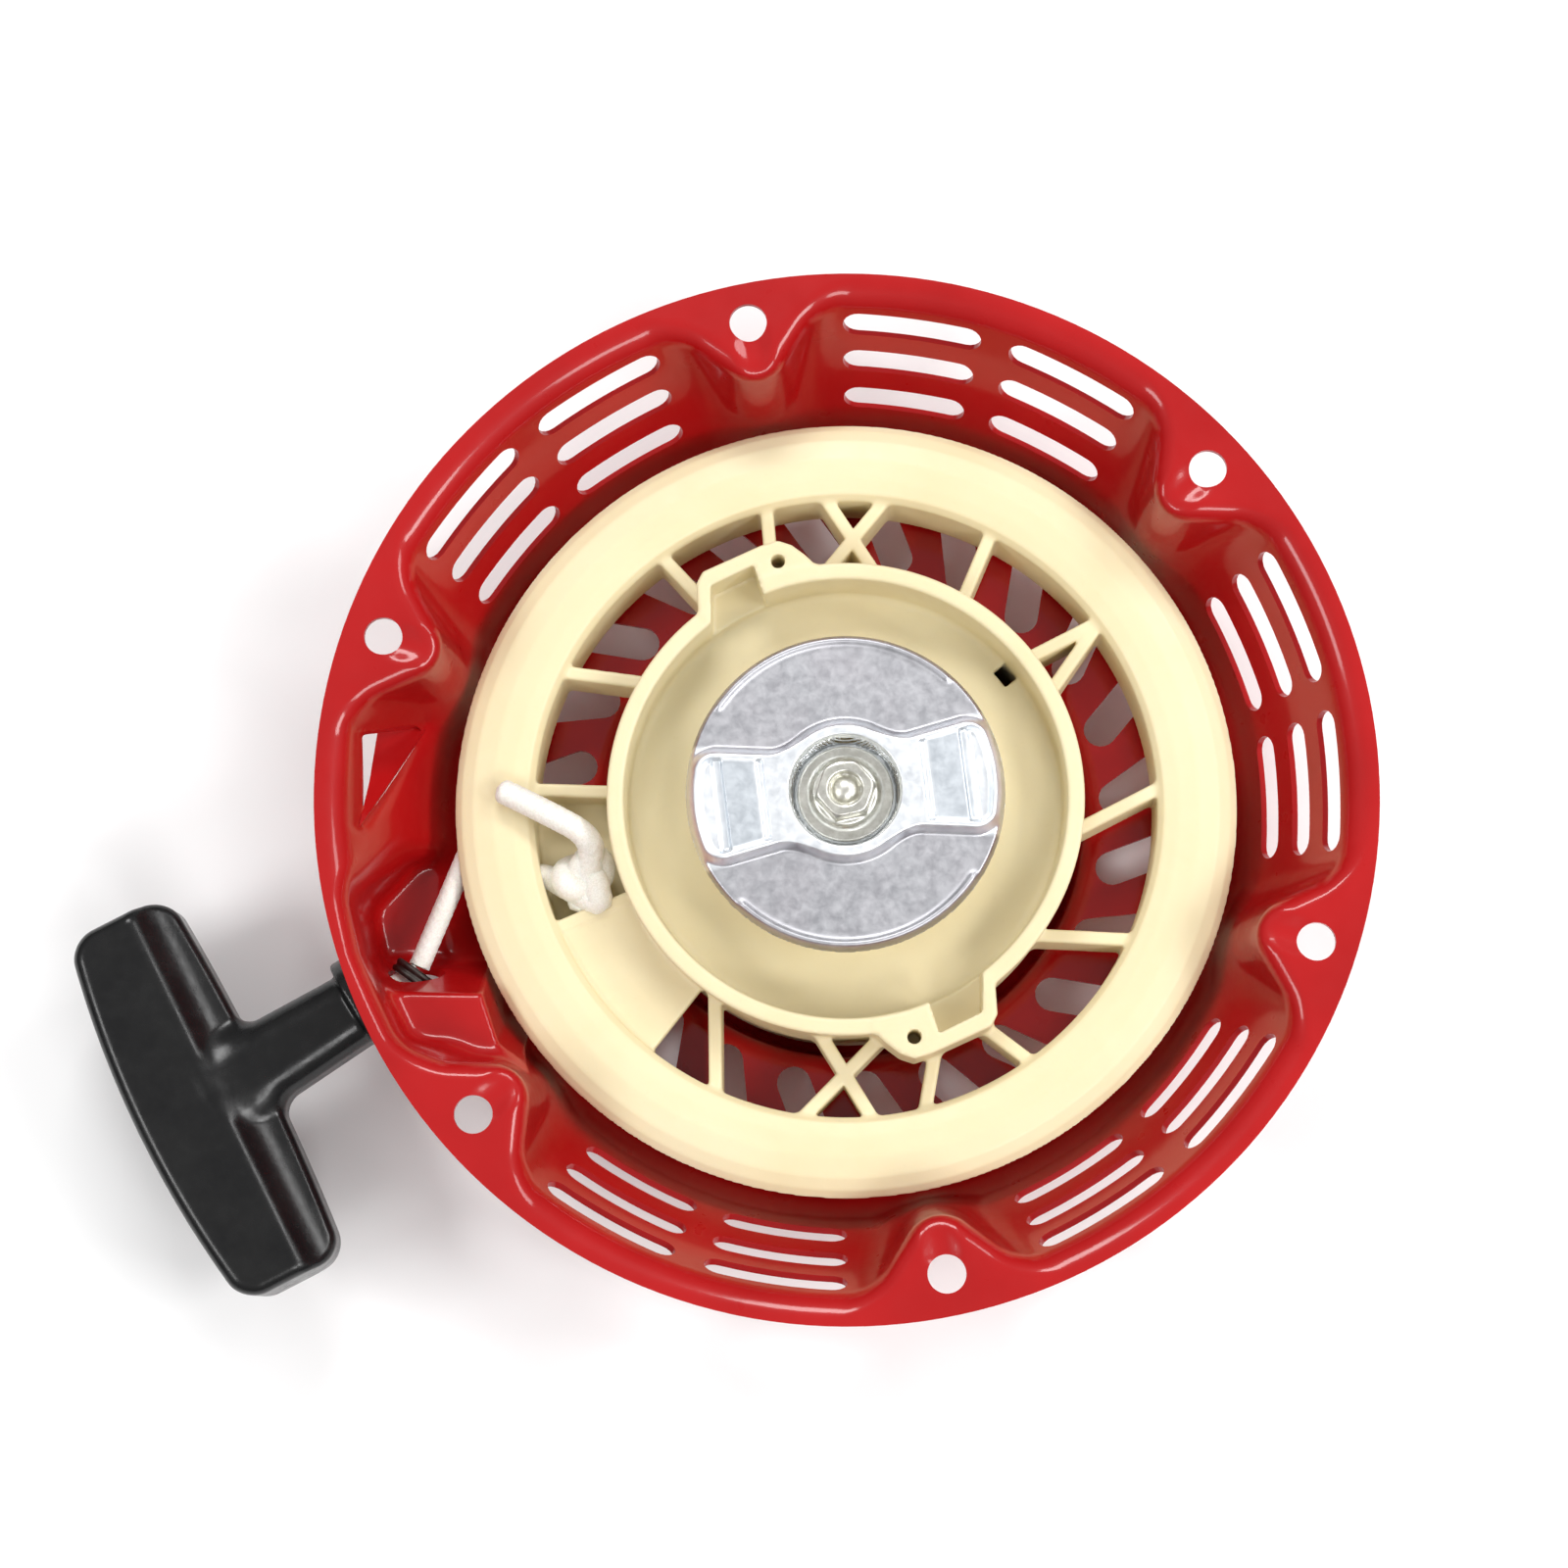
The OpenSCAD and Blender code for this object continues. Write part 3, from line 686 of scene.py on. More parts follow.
def open_dish(x, y, z):
    """The open space inside the dish, with the bulge that takes the rope to the eyelet."""
    r = np.hypot(x, y)
    cone = (r - CONE_TOP_R - CONE_SLOPE * z) * math.cos(CONE_TILT)
    dish = common(cone, FLOOR_Z - z, 7.0)
    cup_r = CUP_BOTTOM_R + (CUP_TOP_R - CUP_BOTTOM_R) * (z - CUP_Z) / (FLOOR_Z - CUP_Z)
    cup = common(r - cup_r, CUP_Z - z, 3.5)
    dish = union(dish, cup, 4.0)
    bulge = common(polygon(x, y, BULGE_CORE) - BULGE_ROUND, BULGE_FLOOR_Z - z, 3.5)
    return union(dish, bulge, 5.0)


def nearest_pad(x, y):
    """Coordinates seen from the nearest bolt pad: outwards along it, and across it."""
    u, v = turned(x, y, BOLT_ANGLE)
    step = math.radians(PAD_STEP)
    a = (np.arctan2(v, u) + step / 2) % step - step / 2
    r = np.hypot(x, y)
    return r * np.cos(a), r * np.sin(a)


def bolt_pads(x, y, z):
    """Rounded V pads at flange height, whose walls flare a little on the way down."""
    along, across = nearest_pad(x, y)
    plan = wedge(along - PAD_TIP_R - PAD_ROUND, across, PAD_SIDE_ANGLE)
    return (plan - PAD_ROUND + PAD_FLARE * np.minimum(z, 0)) / math.hypot(1, PAD_FLARE)


def pad_grooves(x, y, z):
    """Shallow drawn groove from each bolt hole to the pad's tip."""
    along, across = nearest_pad(x, y)
    past = along - np.clip(along, PAD_TIP_R + 0.5, BOLT_CIRCLE_R - 4.5)
    return np.sqrt(past ** 2 + across ** 2 + (z - 2.6) ** 2) - 3.8


def outlet_box(x, y, z):
    """Pressed-in box that the grip's neck starts from, with a leaning front wall."""
    lean = BOX_LEAN * np.maximum(0, ROOF_Z - z)
    return common(polygon(x, y - lean, OUTLET_BOX), z - ROOF_Z, 1.0)


def housing_side(x, y, z):
    """Negative on the metal's side of the dish's inner face."""
    walls = union(-open_dish(x, y, z), bolt_pads(x, y, z), 5.0)
    walls = union(walls, outlet_box(x, y, z), 4.0)
    side = common(walls, z, 4.2)
    side = without(side, pad_grooves(x, y, z), 2.2)
    near_window = np.clip(1 - np.maximum(polygon(x, y, WINDOW), 0) / WINDOW_LIP_W, 0, 1)
    return side + WINDOW_LIP * near_window ** 2 * (z > FLOOR_Z + 6)


WALL_SLOT_W = 7.0
WALL_SLOT_ROWS = [(-8.7, 32.5), (-19.7, 31.0), (-31.2, 29.0)]
GROUP_OFFSET = 10.2
ROPE_SECTOR = 2
FLOOR_SLOTS = 24
FLOOR_SLOT_R = 72.0
FLOOR_SLOT_L = 25.0
FLOOR_SLOT_W = 8.0
FLOOR_SLOT_SLANT = 28


def about_axis(degrees):
    """Turn about the reel's axis."""
    return Matrix.Rotation(math.radians(degrees), 4, "Z")


def wall_slot_cutters():
    """Cutters of the slots in the cone wall: two groups of three in each sector but the rope's."""
    out = []
    tilt = Matrix.Rotation(math.pi / 2 + CONE_TILT, 4, "Y")
    for k in range(BOLT_COUNT):
        if k == ROPE_SECTOR:
            continue
        for side in (-1, 1):
            spin = about_axis(BOLT_ANGLE + PAD_STEP * (k + 0.5) + side * GROUP_OFFSET)
            for z, length in WALL_SLOT_ROWS:
                move = Matrix.Translation((CONE_TOP_R + z * CONE_SLOPE, 0, z))
                out.append(prism("slot", stadium(length, WALL_SLOT_W), -8, 8, spin @ move @ tilt))
    return out


def floor_slot_cutters():
    """Cutters of the ring of slanted slots in the dish's floor."""
    out = []
    step = 360 / FLOOR_SLOTS
    move = Matrix.Translation((FLOOR_SLOT_R, 0, FLOOR_Z))
    slant = about_axis(FLOOR_SLOT_SLANT - 90)
    for k in range(FLOOR_SLOTS):
        spin = about_axis(step * (k + 0.5))
        out.append(prism("slot", stadium(FLOOR_SLOT_L, FLOOR_SLOT_W), -6, 6, spin @ move @ slant))
    return out


def bolt_hole_cutters():
    """Cutters of the flange's bolt holes."""
    spots = [polar(BOLT_CIRCLE_R, BOLT_ANGLE + PAD_STEP * k) for k in range(BOLT_COUNT)]
    return [prism("bolt_hole", arc(x, y, BOLT_HOLE_R, 0, 352.5, 47), -6, 4) for x, y in spots]


def window_tongue():
    """Tongue of sheet left when the window was pressed out, bent outwards from its long side."""
    hinge_low, hinge_high = Vector((-98.0, 20.6, -30.5)), Vector((-111.2, -8.0, -8.0))
    free_low, free_high = Vector((-109.4, 21.2, -27.5)), Vector((-109.9, 4.1, -15.5))
    normal = (hinge_high - hinge_low).cross(free_low - hinge_low).normalized()
    if normal.z < 0:
        normal.negate()
    top = [hinge_low, free_low, free_high, hinge_high]
    points = top + [p - normal * SHEET * 0.8 for p in top]
    faces = [[0, 1, 2, 3], [7, 6, 5, 4]] + [[i, i + 4, (i + 1) % 4 + 4, (i + 1) % 4] for i in range(4)]
    return mesh_object("window_tongue", [tuple(p) for p in points], faces)


def pointing(axis_angle):
    """Turns +Z to a level direction."""
    return about_axis(axis_angle) @ Matrix.Rotation(math.pi / 2, 4, "Y")


def eyelet_seat():
    """Place of the rope's outlet, with +Z along the outlet."""
    return Matrix.Translation((EYELET[0], EYELET[1], ROPE_Z)) @ pointing(OUTLET_ANGLE)


def housing():
    """Formed sheet: one face from distances, then its thickness, then the holes."""
    reach = FLANGE_R + 3.0
    low, high = (-reach, -reach, CUP_Z - 4), (reach, reach, 3.4)
    obj = shaped("housing_shell", housing_side, low, high, GRID["housing"])
    even = {"offset": -1.0, "use_even_offset": True, "use_quality_normals": True}
    applied(obj, "SOLIDIFY", thickness=SHEET * MM, **even)
    disc = prism("disc", arc(0, 0, FLANGE_R, 0, 358, 179), -90, 20)
    cut(obj, disc, "INTERSECT")
    cutters = wall_slot_cutters() + floor_slot_cutters() + bolt_hole_cutters()
    cutters.append(prism("window", rounded_outline(WINDOW, 1.2), -38, 3))
    cutters.append(prism("eyelet_hole", arc(0, 0, EYELET_HOLE_R, 0, 350, 35), -7, 7, eyelet_seat()))
    cut(obj, joined("cutters", cutters))
    obj = merged(joined("housing_shell", [obj, window_tongue()]), 0.03)
    return piece(obj, "housing", RED, "housing_paint", "housing", sharp=42)


# ---- Reel ----

SPOKES = [
    (93.7, 80), (82.4, 97.6), (62, 60), (36, 39.5), (36, 28), (3.3, -7.2), (-25.4, -35.2),
    (-54.5, -61.7), (-75.9, -65.2), (-85, -97), (-98.2, -78.8), (-114, -125),
    (154.4, 147), (126, 123.3), (104.5, 108.3), (177, 176.5),
]
HUB_MID_R = 52.3
HUB_HALF = 1.95
HUB_DRAFT = 0.05
DECK_R = 33.0
BOSS_R = 14.0
BORE_R = 9.08
SKIRT_MID_R = 52.1
SKIRT_HALF = 1.6
WEB_MID_R = 63.5
WEB_HALF = 10.5
SPOKE_HALF = 1.55
SPOKE_FROM_R = 53
SPOKE_TO_R = 74
SHELF_START = 176
WEB_END = 232
SHELF_LOW_Z = -40
SKIRT_TOP_Z = -42
POCKET_END = 203
KNOT_HOLE_ANGLE = 193
HUB_WINDOW_ANGLE = 39.4
BUMP_CORE = [(-7.3, 53.4), (-10.1, 56.0), (-12.9, 58.1), (-15.6, 59.0), (-19.2, 57.9), (-32.1, 52.0),
             (-33.2, 49.9), (-32.8, 43.2), (-31.5, 42.2), (-23.5, 47.2), (-14.5, 50.8), (-7.0, 52.4)]
BUMP_ROUND = 1.2
BUMP_POCKET = [(-18.4, 46.0), (-21.2, 54.4), (-31.0, 49.6), (-31.0, 38.0)]
BUMP_HOLE = (-15.5, 55.3)
RIM_OUTLINE = [
    (73.3, -43.2), (73.3, -26.2), (74.4, -24.9), (77.5, -24.0), (82, -23.6), (86.5, -24.3),
    (89.2, -25.6), (90.6, -27.0), (76.1, -26.2), (76.1, -42.1), (89.7, -42.6), (89.7, -43.2),
]
PAWL_ANGLES = (BAND_ANGLE - 50, BAND_ANGLE + 130)
PAWL_CIRCLE_R = 25.0
PIN_R = 3.0


def rim(x, y, z):
    """Ring-shaped trough that holds the rope."""
    r = np.hypot(x, y)
    return polygon(r, z, RIM_OUTLINE) - 0.6


def hub_bump(x, y, z, half_turn):
    """Outward step in the cup's wall, pointed at one end and square at the other."""
    u, v = turned(x, y, half_turn)
    return common(polygon(u, v, BUMP_CORE) - BUMP_ROUND, slab(z, -30, HUB_RIM_Z), 0.6)


def hub_cuts(x, y, z, half_turn):
    """Pocket open to the cup, and the small blind hole beside it."""
    u, v = turned(x, y, half_turn)
    pocket = np.maximum(polygon(u, v, BUMP_POCKET), HUB_FLOOR_Z + 2 - z)
    hole = np.maximum(np.hypot(u - BUMP_HOLE[0], v - BUMP_HOLE[1]) - 1.6, -24 - z)
    return np.minimum(pocket, hole)


def spokes(x, y, z):
    """Crossing spokes between the cup and the rim."""
    plan = None
    for outer, inner in SPOKES:
        d = segment(x, y, polar(SPOKE_TO_R, outer), polar(SPOKE_FROM_R, inner)) - SPOKE_HALF
        plan = d if plan is None else np.minimum(plan, d)
    return common(plan, slab(z, SKIRT_TOP_Z, -26.3), 0.7)


def hub_shape(x, y, z):
    """Cup with its floor, the pawl deck in it, the bearing boss and the spring chamber's skirt."""
    r = np.hypot(x, y)
    wall_r = HUB_MID_R + HUB_DRAFT * np.maximum(z - HUB_FLOOR_Z, 0)
    wall = common(np.abs(r - wall_r) - HUB_HALF, slab(z, -43, HUB_RIM_Z), 0.7)
    for half_turn in (0, 180):
        wall = union(wall, hub_bump(x, y, z, half_turn), 0.8)
    floor = common(r - HUB_MID_R - 0.7, slab(z, HUB_FLOOR_Z - 3, HUB_FLOOR_Z), 0.4)
    deck = common(r - DECK_R, slab(z, HUB_FLOOR_Z - 2, DECK_Z), 1.0)
    boss = common(r - BOSS_R, slab(z, -42.5, HUB_FLOOR_Z), 0.5)
    skirt = common(np.abs(r - SKIRT_MID_R) - SKIRT_HALF, slab(z, -57, SKIRT_TOP_Z), 0.5)
    body = union(union(wall, floor, 1.6), union(deck, boss, 1.0), 1.2)
    return np.minimum(body, skirt)


def web_plate(x, y, z, start, end, low, high):
    """Flat plate between the cup and the rim over an angular sector."""
    ring = np.abs(np.hypot(x, y) - WEB_MID_R) - WEB_HALF
    return common(common(ring, sector_span(x, y, start, end), 0.8), slab(z, low, high), 0.6)


def knot_pocket(x, y, z):
    """Closed web beside the knot, the pocket's floor and the fence between them."""
    web = web_plate(x, y, z, POCKET_END, WEB_END, -31, -27.4)
    shelf = web_plate(x, y, z, SHELF_START, POCKET_END + 1, SHELF_LOW_Z, -37)
    fence_line = segment(x, y, polar(SPOKE_TO_R, POCKET_END), polar(SPOKE_FROM_R, POCKET_END))
    fence = common(fence_line - 1.4, slab(z, SHELF_LOW_Z, -26.8), 0.6)
    return union(union(web, fence, 0.8), shelf, 0.8)


def hub_window(x, y, z):
    """Small square hole through the cup's wall."""
    u, v = turned(x, y, HUB_WINDOW_ANGLE)
    return np.maximum(np.maximum(np.abs(u - 48.6) - 1.8, np.abs(v) - 2.3), slab(z, -33, -20))


def pawl_seat(x, y, z, angle):
    """Recess round a pawl's pin, and the pin's hole."""
    px, py = polar(PAWL_CIRCLE_R, angle)
    q = np.hypot(x - px, y - py)
    recess = np.maximum(q - 6.2, DECK_Z - 2.2 - z)
    hole = np.maximum(q - PIN_R - 0.02, -40 - z)
    return np.minimum(recess, hole)


def reel_shape(x, y, z):
    """The whole moulding, with its bore, window, pawl seats and the rope's hole cut last."""
    arms = union(spokes(x, y, z), rim(x, y, z), 1.0)
    body = union(hub_shape(x, y, z), union(arms, knot_pocket(x, y, z), 1.0), 1.0)
    for half_turn in (0, 180):
        body = without(body, hub_cuts(x, y, z, half_turn), 0.5)
    body = np.maximum(body, BORE_R - np.hypot(x, y))
    body = np.maximum(body, -hub_window(x, y, z))
    for angle in PAWL_ANGLES:
        body = np.maximum(body, -pawl_seat(x, y, z, angle))
    along, across = turned(x, y, KNOT_HOLE_ANGLE)
    rope_hole = np.maximum(np.hypot(across, z - ROPE_Z) - 2.9, 60 - along)
    return without(body, rope_hole, 0.5)


def reel():
    """The reel as one visible piece."""
    low = (-REEL_R - 1, -REEL_R - 1, low_of("reel", 2) - 1)
    high = (REEL_R + 1, REEL_R + 1, HUB_RIM_Z + 1)
    obj = shaped("reel_moulding", reel_shape, low, high, GRID["reel"])
    return piece(obj, "reel", CREAM, "reel_plastic", "reel", sharp=50)


# ---- Guide plate, screw and pawls ----


ARM_END_R = 35.3
LEG_R = 28.3
PANEL_STEPS = ((18.0, 1.0, 0.6), (19.4, -0.7, 0.5), (27.3, 0.7, 0.5), (29.4, 1.3, 1.0), (33.0, 0.3, 0.8))


def band_plan(x, y):
    """Plan of the raised band: a ring with two arms that widen to round-cornered ends."""
    u, v = turned(x, y, BAND_ANGLE)
    reach, side = np.abs(u), np.abs(v)
    arms = (side - ARM_HALF - ARM_FLARE * (reach - ARM_HALF_AT)) / math.hypot(1, ARM_FLARE)
    arms = np.maximum(arms, 5 - reach)
    arms = common(arms, np.hypot(x, y) - ARM_END_R, 4.5)
    return union(arms, np.hypot(x, y) - RING_R, 4.0)


def eased(t):
    """Smooth step from 0 to 1."""
    t = np.clip(t, 0, 1)
    return t * t * (3 - 2 * t)


def plate_height(x, y):
    """Height of the plate's upper face over its plan."""
    r = np.hypot(x, y)
    plan = band_plan(x, y)
    raised = eased(0.5 - plan / 2.6)
    u, _ = turned(x, y, BAND_ANGLE)
    panel = eased((-plan - 1.6) / 1.2)
    drop = sum(fall * eased(0.5 + (np.abs(u) - edge) / width) for edge, fall, width in PANEL_STEPS)
    from_arm = np.degrees(np.arctan2(np.abs(turned(x, y, BAND_ANGLE)[1]), np.abs(u)))
    lip = 0.8 * np.exp(-((r - 34.9) / 0.9) ** 2) * eased((from_arm - 38) / 4)
    rim_fall = 2.2 * np.clip((r - 35.3) / 1.2, 0, 1) ** 2
    top = PLATE_Z + BAND_RISE * raised - drop * panel * raised + lip - rim_fall
    dish = eased((13.0 - r) / 1.5)
    return top * (1 - dish) + DISH_Z * dish


def guide_shape(x, y, z):
    """Pressed plate of even thickness under its upper face, with two legs that reach the pawls."""
    r = np.hypot(x, y)
    top = plate_height(x, y)
    e = 0.3
    slope_x = (plate_height(x + e, y) - plate_height(x - e, y)) / (2 * e)
    slope_y = (plate_height(x, y + e) - plate_height(x, y - e)) / (2 * e)
    lean = np.sqrt(1 + slope_x ** 2 + slope_y ** 2)
    under = top - PLATE_T * np.minimum(lean, 1.3)
    skin = np.maximum(z - top, under - z) / lean
    plate = common(skin, r - GUIDE_R, 0.4)
    plate = without(plate, r - 6.07, 0.3)
    for side in (0, 180):
        u, v = turned(x, y, BAND_ANGLE + side)
        leg = np.maximum(np.abs(u - LEG_R) - 0.9, np.abs(v) - 2)
        plate = union(plate, common(leg, slab(z, -13.4, -4.6), 0.3), 0.6)
    return plate


def guide_plate():
    """The guide plate as one visible piece."""
    low = (-GUIDE_R - 1, -GUIDE_R - 1, -14.4)
    obj = shaped("guide_disc", guide_shape, low, (GUIDE_R + 1, GUIDE_R + 1, -1.6), GRID["guide"])
    return piece(obj, "guide", ZINC, "guide_zinc", "guide_plate", sharp=55)


SCREW_FLANGE_R = 11.0
HEX_HALF = 6.0
HEX_ANGLE = 42
HEAD_TOP_Z = DISH_Z + 9.6
SHANK_R = 3.0


def hex_head(x, y, z):
    """Hexagon head with a chamfer and a domed spot in its recess."""
    r = np.hypot(x, y)
    sides = [np.abs(turned(x, y, HEX_ANGLE + 60 * k)[0]) - HEX_HALF for k in range(3)]
    hexagon = np.maximum(np.maximum(sides[0], sides[1]), sides[2])
    head = common(hexagon, slab(z, DISH_Z + 1.2, HEAD_TOP_Z), 0.3)
    chamfer = (r - HEX_HALF - 0.35 + (z - HEAD_TOP_Z) * 0.7) * 0.8
    head = common(head, chamfer, 0.3)
    recess = common(r - 3.9, HEAD_TOP_Z - 2.6 - z, 0.5)
    dome = np.sqrt(r ** 2 + (z - HEAD_TOP_Z + 4.8) ** 2) - 4.1
    return union(without(head, recess, 0.35), dome, 0.15)


def screw_shape(x, y, z):
    """Flanged hexagon screw down to the end of its shank."""
    r = np.hypot(x, y)
    flange = common(r - SCREW_FLANGE_R, slab(z, DISH_Z + 0.1, DISH_Z + 1.5), 0.4)
    cone = common(r - 8.3 + 0.6 * (z - DISH_Z - 1.5), slab(z, DISH_Z + 1.0, DISH_Z + 3.2), 0.4)
    shank = common(r - SHANK_R, slab(z, -40, DISH_Z + 1), 0.3)
    return np.minimum(union(union(flange, cone, 0.8), hex_head(x, y, z), 0.5), shank)


def setting_screw():
    """The setting screw as one visible piece."""
    obj = shaped("setting_screw_head", screw_shape, (-12, -12, -41), (12, 12, 0), GRID["screw"])
    return piece(obj, "housing", SCREW, "screw_steel", "setting_screw", sharp=50)


PAWL_PLAN = [
    (-4, 0), (-5.2, 5), (-1.8, 14), (-2.6, 22.5), (-1.2, 23.5), (2, 23.5), (4.6, 19), (5.8, 12), (5.2, 0),
]
PAWL_TOP_Z = -10.4
PAWL_H = 6.0


def pawl(name, angle):
    """Lever on its pin, at rest pointing along the deck's edge."""
    inset = 0.4
    px, py = polar(PAWL_CIRCLE_R, angle)

    def shape(x, y, z):
        u, v = turned(x - px, y - py, angle)
        plan = np.minimum(np.hypot(u, v) - 6, polygon(u, v, PAWL_PLAN))
        plan = np.maximum(plan, PIN_R + 0.05 - np.hypot(u, v))
        return common(plan, slab(z, PAWL_TOP_Z - PAWL_H, PAWL_TOP_Z), inset)

    low = (px - 27, py - 27, PAWL_TOP_Z - PAWL_H - 1)
    obj = shaped(name + "_lever", shape, low, (px + 27, py + 27, PAWL_TOP_Z + 1), GRID["pawl"])
    return piece(obj, name, PAWL, "pawl_steel", name, sharp=50)


# ---- Rope ----


def catmull(points, step):
    """Smooth line through points, sampled about every step millimetres."""
    p = [np.array(q, float) for q in points]
    p = [2 * p[0] - p[1]] + p + [2 * p[-1] - p[-2]]
    out = []
    for i in range(1, len(p) - 2):
        count = max(2, int(np.linalg.norm(p[i + 1] - p[i]) / step))
        for k in range(count):
            t = k / count
            out.append(0.5 * (2 * p[i] + (p[i + 1] - p[i - 1]) * t
                              + (2 * p[i - 1] - 5 * p[i] + 4 * p[i + 1] - p[i + 2]) * t * t
                              + (3 * p[i] - p[i - 1] - 3 * p[i + 1] + p[i + 2]) * t ** 3))
    out.append(p[-2])
    return np.array(out)


def rope_mesh(name, route, radius=ROPE_R, sides=40, pitch=9.0, strands=8, ends=True):
    """Braided rope: a tube whose skin rises and dips as two sets of strands cross over each other."""
    route = np.asarray(route, float)
    n = len(route)
    radius = np.broadcast_to(radius, n)
    heading = np.gradient(route, axis=0)
    heading /= np.linalg.norm(heading, axis=1, keepdims=True)
    across = np.cross(heading[0], [0, 0, 1.0])
    if np.linalg.norm(across) < 0.1:
        across = np.cross(heading[0], [0, 1.0, 0])
    length = np.concatenate([[0], np.cumsum(np.linalg.norm(np.diff(route, axis=0), axis=1))])
    rings = []
    for i in range(n):
        across = across - heading[i] * across.dot(heading[i])
        across /= np.linalg.norm(across)
        up = np.cross(heading[i], across)
        a = 2 * np.pi * np.arange(sides) / sides
        phase = 2 * np.pi * length[i] / pitch
        half = strands / 2
        left = np.cos(half * (a + phase))
        right = np.cos(half * (a - phase))
        weave = np.sin(half * a) * np.sin(half * phase)
        over = np.where(weave > 0, np.abs(left), np.abs(right))
        r = radius[i] * (0.90 + 0.10 * over ** 0.6)
        rings.append(route[i] + r[:, None] * (np.cos(a)[:, None] * across + np.sin(a)[:, None] * up))
    points = np.concatenate(rings)
    faces = [
        [i * sides + j, i * sides + (j + 1) % sides, (i + 1) * sides + (j + 1) % sides, (i + 1) * sides + j]
        for i in range(n - 1) for j in range(sides)
    ]
    if ends:
        faces += [list(range(sides))[::-1], [(n - 1) * sides + j for j in range(sides)]]
    return mesh_object(name, points, faces)


def straight(p, q, step):
    """Points along a straight line, about every step millimetres."""
    p, q = np.array(p, float), np.array(q, float)
    count = max(2, int(np.linalg.norm(q - p) / step))
    return np.array([p + (q - p) * k / count for k in range(count + 1)])


ROPE_STEP = 0.4


def rope_lead():
    """Rope from under the reel's rim to the eyelet."""
    far = math.hypot(*EYELET)
    tangent_angle = math.degrees(math.atan2(EYELET[1], EYELET[0]) - math.acos(WINDING_R / far))
    start = np.array([*polar(WINDING_R, tangent_angle), ROPE_Z])
    end = np.array([*EYELET, ROPE_Z])
    run = (end - start) / np.linalg.norm(end - start)
    obj = rope_mesh("rope_to_eyelet", straight(start + run * 30.2, end - run * 1.6, ROPE_STEP))
    return piece(obj, "housing", WHITE, "rope", "rope_lead", sharp=80)


WINDING_ZS = (-29.2, -34.3, -39.4)


def rope_winding():
    """Three turns side by side in the groove."""
    rings = []
    count = 600
    angles = 2 * np.pi * np.arange(count + 1) / count
    for z in WINDING_ZS:
        route = np.stack([WINDING_R * np.cos(angles), WINDING_R * np.sin(angles), np.full(count + 1, z)], 1)
        rings.append(rope_mesh("turn", route, sides=16, pitch=2 * math.pi * WINDING_R / 50, ends=False))
    return piece(joined("rope_turns", rings), "reel", WHITE, "rope", "rope_winding", sharp=80)


KNOT_CENTRE = (-60.8, -17.2, -28.4)
KNOT_SPREAD = (1.65, 2.0, 1.7)
KNOT_TURN = 20
TAIL = [
    (-59.4, -12.0, -25.4), (-59.6, -9.0, -23.4), (-62.0, -6.4, -21.8), (-66.4, -4.0, -20.6),
    (-71.4, -1.5, -19.9), (-76.2, 0.9, -19.8), (-80.8, 3.1, -19.9),
]
KNOT_ROPE_R = 3.2
TAIL_ROPE_R = 2.95


def knot_spot(t):
    """Point on a drawn-up overhand knot."""
    a = math.sin(t) + 2 * math.sin(2 * t)
    b = math.cos(t) - 2 * math.cos(2 * t)
    u, v = turned(a, b, -KNOT_TURN)
    curve = (u, v, -math.sin(3 * t))
    return tuple(c + s * q for c, s, q in zip(KNOT_CENTRE, KNOT_SPREAD, curve))


def rope_knot():
    """Overhand knot in the pocket, with the stub from the groove and the loose tail over the rim."""
    start = [(*polar(r, KNOT_HOLE_ANGLE), ROPE_Z) for r in (76, 71.5)]
    turns = [knot_spot(t) for t in np.linspace(3.3, 3.3 + 5.7, 18)]
    route = catmull(start + turns + TAIL, ROPE_STEP)
    near_knot = np.linalg.norm(route - np.array(KNOT_CENTRE), axis=1)
    radius = TAIL_ROPE_R + (KNOT_ROPE_R - TAIL_ROPE_R) * eased((14 - near_knot) / 6)
    radius = np.minimum(radius, ROPE_R + 0.08 * np.arange(len(route)) * ROPE_STEP)
    from_end = np.linalg.norm(route - route[-1], axis=1)
    radius = radius * np.sqrt(np.clip(1 - (1 - from_end / 2.0).clip(0) ** 2, 0.03, 1))
    obj = rope_mesh("knot_and_tail", route, radius=radius)
    return piece(obj, "reel", WHITE, "rope", "rope_knot", sharp=80)


# ---- Grip ----

COLLAR_AT = 13.0
NECK_HALF = 8.4
NECK_FLARE = 0.046
BAR_AT = (56.8, 0.2)
BAR_HALF = 46.7
BAR_LEAN = -4.2
GRIP_HALF = 11.5


def bar_shape(u, v, z):
    """Bar of the T: bowed outer side, flat faces, and a scooped bevel towards the neck."""
    w, v = turned(u - BAR_AT[0], v - BAR_AT[1], BAR_LEAN)
    outer = np.hypot(w + 224, v) - 240
    inner = -w - 15.2 + 0.0009 * v * v
    plan = common(outer, inner, 5.0)
    plan = common(plan, np.abs(v) - BAR_HALF, 6.0)
    az = np.abs(z)
    bar = common(plan, az - GRIP_HALF, 3.2)
    scoop = 16 - np.hypot(w + 17.6, az - 20.7)
    return common(bar, scoop, 1.6)


